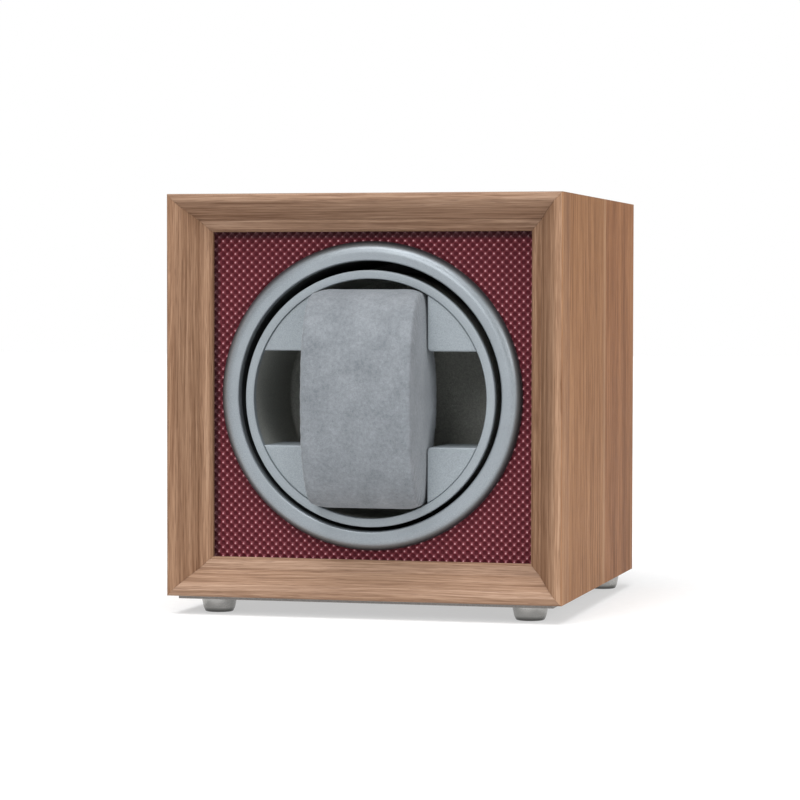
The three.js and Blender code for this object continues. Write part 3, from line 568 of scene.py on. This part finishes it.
def mitred(section, quarter):
    """One length with mitred ends on the top (0), right (1), bottom (2) or left (3) of the front.

    The section runs in (distance in from the cabinet's outer face, depth).
    """
    turn = Matrix.Rotation(quarter * math.pi / 2, 4, "Y")
    vertices = []
    for side in (-1, 1):
        for inward, depth in section:
            reach = side * (HALF - inward - MITRE)
            corner = turn @ Vector((reach, FRONT + depth, HALF - inward))
            vertices.append((corner.x, corner.y, corner.z + BEZEL_Z))
    count = len(section)
    faces = [[i, (i + 1) % count, count + (i + 1) % count, count + i] for i in range(count)]
    faces += [list(range(count)), list(range(count, 2 * count))]
    return vertices, faces


# ---------------------------------------------------------------- cabinet

MOULDING = rounded(
    [
        (0, FRAME_DEPTH, 0),
        (0, 0, 0.7),
        (2.3, 0, 1.6),
        (4.1, 1.9, 1.2),
        (7.75, 7.6, 0.25),
        (8.05, 8.5, 0.3),
        (8.6, 8.75, 0.5),
        (10.9, 9.9, 0.9),
        (11.6, 11.2, 0.3),
        (11.6, FRAME_DEPTH, 0),
    ]
)
BOARD = rounded([(0, FRAME_DEPTH, 0), (0, BACK, 0.6), (WALL, BACK, 0.3), (WALL, FRAME_DEPTH, 0)])

for quarter, side in enumerate(("top", "right", "bottom", "left")):
    upright = side in ("left", "right")
    kind = "stile" if upright else "rail"
    front_wood = upright_walnut if upright else level_walnut
    side_wood = side_walnut if upright else level_walnut
    moulding = add(
        f"moulding_{side}",
        *mitred(MOULDING, quarter),
        front_wood,
        "cabinet",
        [f"frame_{kind}_{side}"],
        "walnut",
    )
    board = add(
        f"board_{side}",
        *mitred(BOARD, quarter),
        side_wood,
        "cabinet",
        [f"cabinet_{side}"],
        "walnut",
    )
    even_out(moulding)
    even_out(board)

PANEL_HALF = HALF - WALL - 0.2
CUTOUT = {"half_width": 34, "half_height": 11, "corner": 1}


def oblong(size, x, z):
    """The outline of an oblong with rounded corners about a place."""
    wide, high = size["half_width"], size["half_height"]
    return block(x - wide, x + wide, z - high, z + high, size["corner"])


back_panel = slab(
    block(-PANEL_HALF, PANEL_HALF, BEZEL_Z - PANEL_HALF, BEZEL_Z + PANEL_HALF),
    BACK - BACK_PANEL,
    BACK,
    0.35,
    [oblong(CUTOUT, 0, PLATE_Z)[::-1]],
)
even_out(add("back_panel", *back_panel, back_walnut, "cabinet", ["cabinet_back"], "walnut"))


def cross_screw(name, x, depth_or_z, z_or_y, radius, height, node, body, down=False):
    """A pan head with a cross recess: a polar mesh, pressed in where the cross is."""
    vertices, faces, rows = [], [], []
    rings, segments = 22, 72
    for i in range(rings + 1):
        r = radius * i / rings
        row = []
        for k in range(segments if i else 1):
            angle = 2 * math.pi * k / segments
            u, v = r * math.cos(angle), r * math.sin(angle)
            rise = height * math.sqrt(max(0.0, 1 - (r / radius) ** 2.6 * 0.86)) - 0.02
            arm = min(abs(u), abs(v))
            length = max(abs(u), abs(v))
            pressed = 1 / (1 + math.exp((arm - 0.16 * radius) / (0.03 * radius)))
            pressed *= 1 / (1 + math.exp((length - 0.6 * radius) / (0.035 * radius)))
            rise -= pressed * height * 0.62 * (1.15 - length / radius)
            row.append(len(vertices))
            if down:
                vertices.append((x + u, z_or_y + v, depth_or_z - rise))
            else:
                vertices.append((x + u, FRONT + depth_or_z + rise, z_or_y + v))
        rows.append(row)
    foot = []
    for index in rows[-1]:
        px, py, pz = vertices[index]
        foot.append(len(vertices))
        vertices.append((px, py, depth_or_z) if down else (px, FRONT + depth_or_z, pz))
    rows.append(foot)
    for first, second in zip(rows, rows[1:]):
        for k in range(segments):
            n = (k + 1) % segments
            quad = [first[k % len(first)], first[n % len(first)], second[n], second[k]]
            faces.append(list(dict.fromkeys(quad)))
    faces.append(list(reversed(foot)))
    return add(name, vertices, faces, steel, body, [node], "steel", sharp=40)


for corner in ("lower_left", "lower_right", "upper_left", "upper_right"):
    node = f"back_screw_{corner}"
    cross_screw(f"{node}_head", middle(node, 0), BACK, middle(node, 2), 2.6, 1.1, node, "cabinet")


FOOT = rounded(
    [
        (2.7, 2.4, 0),
        (2.7, 0, 0.3),
        (4.35, 0, 0.55),
        (5.0, 1.4, 1.5),
        (5.7, FOOT_TOP, 0.12),
        (1.5, FOOT_TOP, 0),
        (1.5, 2.4, 0),
    ]
)
for corner in ("front_left", "front_right", "back_left", "back_right"):
    node = f"foot_{corner}"
    x, y = middle(node, 0), middle(node, 1)
    shape = lathe(FOOT, 96, x, y, upright=True)
    add(f"{node}_turned", *shape, foot_metal, "cabinet", [node], "foot_metal")
    screw = f"foot_screw_{corner}"
    cross_screw(f"{screw}_head", x, 2.2, y, 2.3, 1.3, screw, "cabinet", down=True)

# ---------------------------------------------------------------- fascia


def dome_field(x, z):
    """Height from 0 to 1 of a staggered field of small domes."""
    wave = np.cos(2 * np.pi * x / DOME_PITCH) * np.cos(2 * np.pi * z / DOME_PITCH)
    return np.sqrt(np.clip((wave + 0.25) / 1.25, 0, 1))


def fascia_cover():
    step = DOME_PITCH / DOME_STEPS
    count = int((FRAME_OPENING + 1.2) / step)
    line = np.arange(-count, count + 1) * step
    x, z = np.meshgrid(line, line)
    depth = FRAME_DEPTH + COVER_FRONT - DOME_HEIGHT * dome_field(x, z)
    vertices = np.stack([x.ravel(), FRONT + depth.ravel(), BEZEL_Z + z.ravel()], axis=1)
    radius = np.hypot(x, z)
    size = len(line)
    faces = []
    for row in range(size - 1):
        for col in range(size - 1):
            if radius[row : row + 2, col : col + 2].min() < COVER_HOLE:
                continue
            a = row * size + col
            faces.append([a, a + 1, a + size + 1, a + size])
    used = np.unique(faces)
    new = np.full(len(vertices), -1)
    new[used] = np.arange(len(used))
    kept = [[int(new[i]) for i in face] for face in faces]
    return vertices[used].tolist(), kept


add(
    "fascia_leatherette",
    *fascia_cover(),
    leatherette,
    "cabinet",
    ["fascia_cover"],
    "leatherette",
    sharp=0,
    closed=False,
)


def bezel_section(steps=24):
    """The ring's section: a small round at its bore, a flat, and a long quarter round outside."""
    inner, outer, shoulder, front = (BEZEL[key] for key in ("inner", "outer", "shoulder", "front"))
    back = FRAME_DEPTH
    bore = [(inner, back, 0), (inner, front + 0.1, 0.6), (shoulder, front, 0)]
    turns = [math.pi / 2 * k / steps for k in range(1, steps + 1)]
    outside = [
        (shoulder + (outer - shoulder) * math.sin(turn), back - (back - front) * math.cos(turn))
        for turn in turns
    ]
    return rounded(bore, closed=False, steps=8) + outside


bezel = lathe(bezel_section(), 320, 0, BEZEL_Z)
add("bezel", *bezel, silver, "cabinet", ["bezel_ring"], "silver_paint", sharp=50)

tunnel_back = limits("tunnel_sleeve")[1][1] - FRONT
tunnel_front = limits("tunnel_sleeve")[1][0] - FRONT
TUNNEL = [
    (BEZEL["inner"], tunnel_front),
    (TUNNEL_OUTER, tunnel_front),
    (TUNNEL_OUTER, tunnel_back),
    (BEZEL["inner"], tunnel_back),
]
tunnel = lathe(TUNNEL, 192, 0, BEZEL_Z)
add("tunnel", *tunnel, tunnel_black, "cabinet", ["tunnel_sleeve"], "black_plastic")

# ---------------------------------------------------------------- drum

rim_front = limits("drum_rim")[1][0] - FRONT
rim_back = limits("drum_rim")[1][1] - FRONT
RIM_SECTION = rounded(
    [
        (RIM["inner"], rim_back, 0),
        (RIM["inner"], rim_front, 0.35),
        (RIM["outer"], rim_front, 0.5),
        (RIM["outer"], rim_back, 0),
    ]
)
rim = lathe(RIM_SECTION, 256, 0, DRUM_Z)
add("rim", *rim, drum_silver, "drum", ["drum_rim"], "silver_paint", sharp=50)

cup_back = limits("drum_cup")[1][1] - FRONT
CUP_SECTION = rounded(
    [
        (3.3, cup_back, 0),
        (39.3, cup_back, 1),
        (39.3, rim_back, 0),
        (37.25, rim_back, 0),
        (37.25, cup_back - 2.5, 1.2),
        (3.3, cup_back - 2.5, 0),
    ]
)
add("cup", *lathe(CUP_SECTION, 192, 0, DRUM_Z), cup_grey, "drum", ["drum_cup"], "black_plastic")


def block_outline():
    """The upper right block: an arc, and a corner at the crossing of the slot and the window."""
    slot, window, radius = BLOCK["slot"], BLOCK["window"], BLOCK["radius"]
    start, end = math.asin(window / radius), math.acos(slot / radius)
    count = 40
    angles = [start + (end - start) * k / count for k in range(count + 1)]
    arc = [(radius * math.cos(a), radius * math.sin(a)) for a in angles]
    corner = rounded([(slot, window + 6, 0), (slot, window, BLOCK["corner"]), (slot + 6, window, 0)], False)
    return arc + corner[1:-1]


block_front = limits("drum_block_upper_right")[1][0] - FRONT
block_back = limits("drum_block_upper_right")[1][1] - FRONT
for corner, side_x, side_z in (
    ("lower_left", -1, -1),
    ("lower_right", 1, -1),
    ("upper_left", -1, 1),
    ("upper_right", 1, 1),
):
    outline = [(side_x * x, DRUM_Z + side_z * z) for x, z in block_outline()]
    if side_x * side_z < 0:
        outline.reverse()
    shape = slab(outline, block_front, block_back, 0.4)
    node = f"drum_block_{corner}"
    even_out(add(f"block_{corner}", *shape, drum_silver, "drum", [node], "silver_paint"))

# ---------------------------------------------------------------- pillow

SIM_SCALE = 10  # the small cushion is inflated at ten times its size, where cloth behaves
AROUND = 96
BAND_ROWS = 18
PANEL_RINGS = (0.94, 0.86, 0.77, 0.67, 0.57, 0.46, 0.35, 0.23, 0.11)
STUFFING_PUSH = 1.3  # how far the stuffing pushes out the loosest part of the cover
SOFT_NODES = ["pillow_band", "pillow_end_left", "pillow_end_right"]


def bend(value):
    return math.copysign(abs(value) ** (2 / PILLOW["roundness"]), value)


def smooth_step(value, low, high):
    t = np.clip((value - low) / (high - low), 0, 1)
    return t * t * (3 - 2 * t)


def hold_below(value, limit, softness):
    """A length bent over smoothly so that it never passes the limit."""
    over = np.maximum(value - (limit - softness), 0)
    return np.minimum(value, limit - softness) + softness * (1 - np.exp(-over / softness))


def in_the_round(x, z, radius, softness=0.8):
    """Places drawn in towards the drum's axis where they would pass a radius."""
    away = np.maximum(np.hypot(x, z), 1e-9)
    share = hold_below(away, radius, softness) / away
    return x * share, z * share


def cover_pattern():
    """The cover as it is cut: an oval tube between two seams, and a flat panel at each end.

    Gives the points about the drum's axis, the faces, and the points that lie on the seams.
    """
    seam = PILLOW["seam"]
    rows = [(-seam, share) for share in reversed(PANEL_RINGS)]
    rows += [(-seam + 2 * seam * k / BAND_ROWS, 1.0) for k in range(BAND_ROWS + 1)]
    rows += [(seam, share) for share in PANEL_RINGS]
    angles = [2 * math.pi * k / AROUND for k in range(AROUND)]
    points = [
        (x, PILLOW["depth"] * share * bend(math.cos(a)), PILLOW["height"] * share * bend(math.sin(a)))
        for x, share in rows
        for a in angles
    ]
    faces = []
    for row in range(len(rows) - 1):
        for k in range(AROUND):
            n = (k + 1) % AROUND
            first, second = row * AROUND, (row + 1) * AROUND
            faces.append([first + k, first + n, second + n, second + k])
    for row, x in ((0, -seam), (len(rows) - 1, seam)):
        points.append((x, 0.0, 0.0))
        for k in range(AROUND):
            faces.append([row * AROUND + k, row * AROUND + (k + 1) % AROUND, len(points) - 1])
    first_seam = len(PANEL_RINGS) * AROUND
    second_seam = first_seam + BAND_ROWS * AROUND
    seams = [*range(first_seam, first_seam + AROUND), *range(second_seam, second_seam + AROUND)]
    points = np.array(points)
    points[:, 0], points[:, 2] = in_the_round(points[:, 0], points[:, 2], PILLOW_ROUND)
    return points, faces, seams


def soft_mesh(name, points, faces):
    """A closed mesh with its faces turned outwards."""
    data = bpy.data.meshes.new(name)
    data.from_pydata([Vector(point) for point in points], [], faces)
    shaped = bmesh.new()
    shaped.from_mesh(data)
    bmesh.ops.recalc_face_normals(shaped, faces=shaped.faces)
    shaped.to_mesh(data)
    shaped.free()
    return data


def stuffed(points, faces, seams):
    """How far each point of the cover moves as it is blown up like cloth between its seams."""
    soft = bpy.data.objects.new("cushion", soft_mesh("cushion", points * MM * SIM_SCALE, faces))
    bpy.context.scene.collection.objects.link(soft)
    soft.vertex_groups.new(name="seams").add(seams, 1.0, "REPLACE")
    cloth = soft.modifiers.new("cloth", "CLOTH").settings
    cloth.vertex_group_mass = "seams"
    cloth.use_pressure = True
    cloth.uniform_pressure_force = 5
    cloth.effector_weights.gravity = 0
    cloth.tension_stiffness = cloth.compression_stiffness = 20
    cloth.bending_stiffness = 0.8
    cloth.shrink_min = -0.02
    cloth.quality = 6
    for number in range(1, 31):
        bpy.context.scene.frame_set(number)
    blown = soft.evaluated_get(bpy.context.evaluated_depsgraph_get())
    settled = np.array([v.co for v in blown.data.vertices]) / (MM * SIM_SCALE)
    bpy.context.scene.frame_set(1)
    bpy.data.objects.remove(soft)
    move = settled - points
    return move * (STUFFING_PUSH / np.linalg.norm(move, axis=1).max())


def squeezed(points):
    """The stuffed cover where the drum holds it: between the blocks and inside the mouth."""
    x, depth, z = points.T
    free = np.cos(np.pi / 2 * np.clip(z / (BLOCK["window"] + 2), -1, 1)) ** 2
    behind = smooth_step(depth, 0, 14)
    wide = PILLOW["width"] + 0.3 * free - 1.5 * behind * (1 - free)
    x = np.sign(x) * hold_below(np.abs(x), wide, 0.6)
    x, z = in_the_round(x, z, PILLOW_ROUND + 0.15, 0.4)
    return np.stack([x, depth, z], axis=1)


def in_frame(points):
    """Points about the middle of the pillow carried to the frame, in metres."""
    return (points + np.array([0, FRONT + PILLOW["centre"], DRUM_Z])) * MM


def pillow():
    points, faces, seams = cover_pattern()
    points = squeezed(points + stuffed(points, faces, seams))
    rough = bpy.data.objects.new("cover", soft_mesh("cover", in_frame(points), faces))
    bpy.context.scene.collection.objects.link(rough)
    on_seam = set(seams)
    crease = rough.data.attributes.new("crease_edge", "FLOAT", "EDGE")
    for edge in rough.data.edges:
        a, b = edge.vertices
        along = a in on_seam and b in on_seam and a // AROUND == b // AROUND
        crease.data[edge.index].value = 0.55 if along else 0.0
    divide = rough.modifiers.new("divide", "SUBSURF")
    divide.levels = divide.render_levels = 2
    bpy.context.view_layer.update()
    fine = bpy.data.meshes.new_from_object(rough.evaluated_get(bpy.context.evaluated_depsgraph_get()))
    bpy.data.objects.remove(rough)
    fine.name = "pillow_cover"
    sew(fine)
    cover = place("pillow_cover", fine, suede, "pillow", SOFT_NODES, "suede", sharp=0)
    stuffing = in_frame(points * np.array([0.9, 0.88, 0.93])) / MM
    add("pillow_foam", stuffing.tolist(), faces, foam, "pillow", ["pillow_core"], "foam", sharp=0)


def sew(data):
    """Draws in the two seams and lays shallow puckers beside them."""
    power = PILLOW["roundness"]
    spots = np.array([v.co for v in data.vertices]) / MM
    normals = np.array([v.normal for v in data.vertices])
    x, depth, z = (spots - np.array([0, FRONT + PILLOW["centre"], DRUM_Z])).T
    up, back = z / PILLOW["height"], depth / PILLOW["depth"]
    angle = np.arctan2(up, back)
    ring = (np.abs(up) ** power + np.abs(back) ** power) ** (1 / power)
    from_seam = np.hypot(np.abs(x) - PILLOW["seam"], (1 - np.minimum(ring, 1)) * PILLOW["depth"])
    groove = np.exp(-((from_seam / 0.5) ** 2))
    pucker = np.exp(-((from_seam / 2.4) ** 2))
    ripple = 0.5 + 0.5 * np.sin(angle * 46 + 1.7 * np.sin(angle * 5))
    spots -= normals * (0.3 * groove + 0.12 * pucker * ripple)[:, None]
    data.vertices.foreach_set("co", (spots * MM).ravel())
    data.update()


pillow()

# ---------------------------------------------------------------- controls on the back

SWITCH_X = middle("mode_knob", 0)
JACK_X = middle("dc_jack", 0)
ROCKER_X = middle("power_switch_housing", 0)

PLATE = {"half_width": 37, "half_height": 14, "corner": 2.2}
ROCKER_HOLE = {"half_width": 6.8, "half_height": 9.8, "corner": 0.8}
SHAFT_HOLE = 3.3
JACK_HOLE = 5
BOARD_BACK = 117.6
MARK_RADIUS = 10.2

holes = [
    disc(SHAFT_HOLE, SWITCH_X, PLATE_Z),
    disc(JACK_HOLE, JACK_X, PLATE_Z),
    oblong(ROCKER_HOLE, ROCKER_X, PLATE_Z)[::-1],
]
plate_shape = slab(oblong(PLATE, 0, PLATE_Z), PLATE_FRONT, PLATE_BACK, 0.35, holes)
even_out(
    add("control_plate_moulded", *plate_shape, black, "cabinet", ["control_plate"], "black_plastic")
)

knob_foot = limits("mode_knob")[1][0] - FRONT
knob_top = limits("mode_knob")[1][1] - FRONT
KNOB = rounded(
    [
        (0, knob_top - 0.25, 0),
        (5.6, knob_top - 0.25, 0.3),
        (6.0, knob_top, 0.2),
        (7.1, knob_top, 0.5),
        (7.5, knob_top - 1.2, 0.3),
        (7.7, knob_foot + 1.8, 0.3),
        (8.0, knob_foot + 1.2, 0.3),
        (8.0, knob_foot, 0.2),
        (3.3, knob_foot, 0),
        (3.3, knob_foot + 7.2, 0),
        (0, knob_foot + 7.2, 0),
    ],
    closed=False,
)


def fluted(angle, depth):
    on_grip = knob_foot + 1.5 < depth < knob_top - 0.9
    return 1 - 0.035 * (0.5 + 0.5 * math.cos(24 * angle)) ** 2 if on_grip else 1


knob = lathe(KNOB, 240, SWITCH_X, PLATE_Z, wave=fluted, closed=False)
add("knob", *knob, switch_black, "mode_knob", ["mode_knob"], "switch_plastic", sharp=40)
pointer = slab(
    block(SWITCH_X - 0.45, SWITCH_X + 0.45, PLATE_Z + 1.6, PLATE_Z + 5.3, 0.4),
    knob_top - 0.35,
    knob_top - 0.1,
    0.06,
)
even_out(add("knob_pointer", *pointer, white_ink, "mode_knob", slot="switch_plastic"))

DOT = rounded(
    [
        (0, PLATE_BACK, 0),
        (0.55, PLATE_BACK, 0),
        (0.55, PLATE_BACK + 0.12, 0.06),
        (0, PLATE_BACK + 0.12, 0),
    ],
    closed=False,
)
for step in range(4):
    angle = math.pi / 2 - step * math.pi / 2
    x, z = SWITCH_X + MARK_RADIUS * math.cos(angle), PLATE_Z + MARK_RADIUS * math.sin(angle)
    dot = lathe(DOT, 32, x, z, closed=False)
    add(f"knob_mark_{step + 1}", *dot, white_ink, "cabinet", slot="black_plastic")

jack_end = limits("dc_jack")[1][1] - FRONT
jack_floor = jack_end - 9
JACK = rounded(
    [
        (0, jack_floor, 0),
        (3.2, jack_floor, 0),
        (3.2, jack_end, 0.35),
        (5.8, jack_end, 0.45),
        (5.8, PLATE_BACK, 0),
        (4.7, PLATE_BACK, 0),
        (4.7, BOARD_BACK, 0.3),
        (0, BOARD_BACK, 0),
    ],
    closed=False,
)
jack = lathe(JACK, 96, JACK_X, PLATE_Z, closed=False)
add("socket", *jack, switch_black, "cabinet", ["dc_jack"], "switch_plastic")
PIN = rounded(
    [(0, jack_floor, 0), (1, jack_floor, 0), (1, jack_end - 1, 0.5), (0, jack_end - 1, 0)],
    closed=False,
)
pin = lathe(PIN, 48, JACK_X, PLATE_Z, closed=False)
add("socket_pin", *pin, steel, "cabinet", slot="steel")

# ---------------------------------------------------------------- finishes of the CAD nodes

FINISHES = {
    "base_sheet": base_felt,
    "fascia_board": fibreboard,
    "bulkhead": black,
    "bearing_bush": brass,
    "gearbox": motor_steel,
    "motor_can": motor_steel,
    "motor_screw_1": steel,
    "motor_screw_2": steel,
    "motor_shaft": steel,
    "drum_axle": steel,
    "axle_clip": steel,
    "drum_gear": nylon,
    "pinion": brass,
    "control_board": circuit_green,
    "motor_lead": lead_red,
    "mode_switch": switch_black,
    "mode_shaft": steel,
    "power_switch_housing": switch_black,
    "power_rocker": switch_black,
}
FINISHES |= {name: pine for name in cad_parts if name.startswith("corner_cleat")}
EASED = {"power_switch_housing": 0.35, "power_rocker": 0.3, "base_sheet": 0.2, "mode_switch": 0.3}

for name, finish in FINISHES.items():
    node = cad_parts[name]
    node.data.materials.clear()
    node.data.materials.append(finish)
for name, width in EASED.items():
    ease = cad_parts[name].modifiers.new("eased", "BEVEL")
    ease.width, ease.segments, ease.limit_method = width * MM, 3, "ANGLE"
    ease.angle_limit = math.radians(40)
    ease.harden_normals = True

# ---------------------------------------------------------------- floor, light and camera

FLOOR_REACH = 4.0
AMBIENT = {"level": 0.42, "slant": (0.09, 0, 0.05)}  # brighter towards the right and from above
SOFTBOXES = {
    "front": ((-0.12, -1.3, 0.55), 0.42, 3.3),
    "high": ((-0.25, -0.9, 0.95), 0.35, 1.8),
    "side": ((1.1, -0.68, 0.45), 0.5, 5.5),
}
OVERHEAD = {"strength": 2.8, "angle": 48, "toward": (0.05, 0.40, -1)}
AIM = (0, 0, 0.065)
CAMERA = {"lens": 132.6, "yaw": 13.98, "pitch": 1.99, "roll": 0.11}
CAMERA_PLACE = (0.2292, FRONT * MM - 0.8711, 0.0989)

floor_data = bpy.data.meshes.new("floor")
floor_data.from_pydata(
    [(FLOOR_REACH * x, FLOOR_REACH * y, 0) for x, y in ((-1, -1), (1, -1), (1, 1), (-1, 1))],
    [],
    [[0, 1, 2, 3]],
)
paper = Finish("floor_paper")
paper_grain = paper.noise(paper.coordinates, 300, detail=2)
paper.set("Base Color", paper.ramp(paper_grain, [(0.3, (0.49, 0.49, 0.49)), (0.7, (0.51, 0.51, 0.51))]))
paper.shader.inputs["Roughness"].default_value = 0.9
paper.shader.inputs["Specular IOR Level"].default_value = 0.1
paper.shader.inputs["Emission Color"].default_value = (1, 1, 1, 1)
paper.shader.inputs["Emission Strength"].default_value = 0.46
floor_data.materials.append(paper.material)
floor = bpy.data.objects.new("floor", floor_data)
bpy.context.scene.collection.objects.link(floor)

studio = bpy.data.worlds.new("studio")
studio.use_nodes = True
tree = studio.node_tree
ambient = tree.nodes["Background"]
ambient.inputs["Color"].default_value = (0.97, 0.985, 1.0, 1)
direction = tree.nodes.new("ShaderNodeTexCoord").outputs["Generated"]
slant = tree.nodes.new("ShaderNodeVectorMath")
slant.operation = "DOT_PRODUCT"
slant.inputs[1].default_value = AMBIENT["slant"]
tree.links.new(direction, slant.inputs[0])
level = tree.nodes.new("ShaderNodeMath")
level.operation = "ADD"
level.inputs[1].default_value = AMBIENT["level"]
tree.links.new(slant.outputs["Value"], level.inputs[0])
tree.links.new(level.outputs[0], ambient.inputs["Strength"])
backdrop = tree.nodes.new("ShaderNodeBackground")
backdrop.inputs["Color"].default_value = (1, 1, 1, 1)
backdrop.inputs["Strength"].default_value = 1.0
seen = tree.nodes.new("ShaderNodeLightPath")
choose = tree.nodes.new("ShaderNodeMixShader")
tree.links.new(seen.outputs["Is Camera Ray"], choose.inputs[0])
tree.links.new(ambient.outputs[0], choose.inputs[1])
tree.links.new(backdrop.outputs[0], choose.inputs[2])
tree.links.new(choose.outputs[0], tree.nodes["World Output"].inputs["Surface"])
bpy.context.scene.world = studio


def lamp(name, kind, place, toward, strength):
    """A light at a place that shines along a direction."""
    data = bpy.data.lights.new(name, kind)
    data.energy = strength
    made = bpy.data.objects.new(name, data)
    made.location = place
    made.rotation_euler = Vector(toward).to_track_quat("-Z", "Y").to_euler()
    bpy.context.scene.collection.objects.link(made)
    return data


for name, (spot, size, power) in SOFTBOXES.items():
    panel = lamp(name, "AREA", spot, Vector(AIM) - Vector(spot), power)
    panel.shape, panel.size = "SQUARE", size
overhead = lamp("overhead", "SUN", (0, 0, 0), OVERHEAD["toward"], OVERHEAD["strength"])
overhead.angle = math.radians(OVERHEAD["angle"])

camera_data = bpy.data.cameras.new("camera")
camera_data.sensor_width = 36
camera_data.lens = CAMERA["lens"]
camera = bpy.data.objects.new("camera", camera_data)
bpy.context.scene.collection.objects.link(camera)
yaw, pitch, roll = (math.radians(CAMERA[key]) for key in ("yaw", "pitch", "roll"))
ahead = Vector((-math.sin(yaw) * math.cos(pitch), math.cos(yaw) * math.cos(pitch), -math.sin(pitch)))
right = Vector((math.cos(yaw), math.sin(yaw), 0))
above = right.cross(ahead)
across = right * math.cos(roll) + above * math.sin(roll)
upward = above * math.cos(roll) - right * math.sin(roll)
turn = Matrix((across, upward, -ahead)).transposed().to_4x4()
camera.matrix_world = Matrix.Translation(CAMERA_PLACE) @ turn
bpy.context.scene.camera = camera
bpy.context.scene.view_settings.view_transform = "Standard"
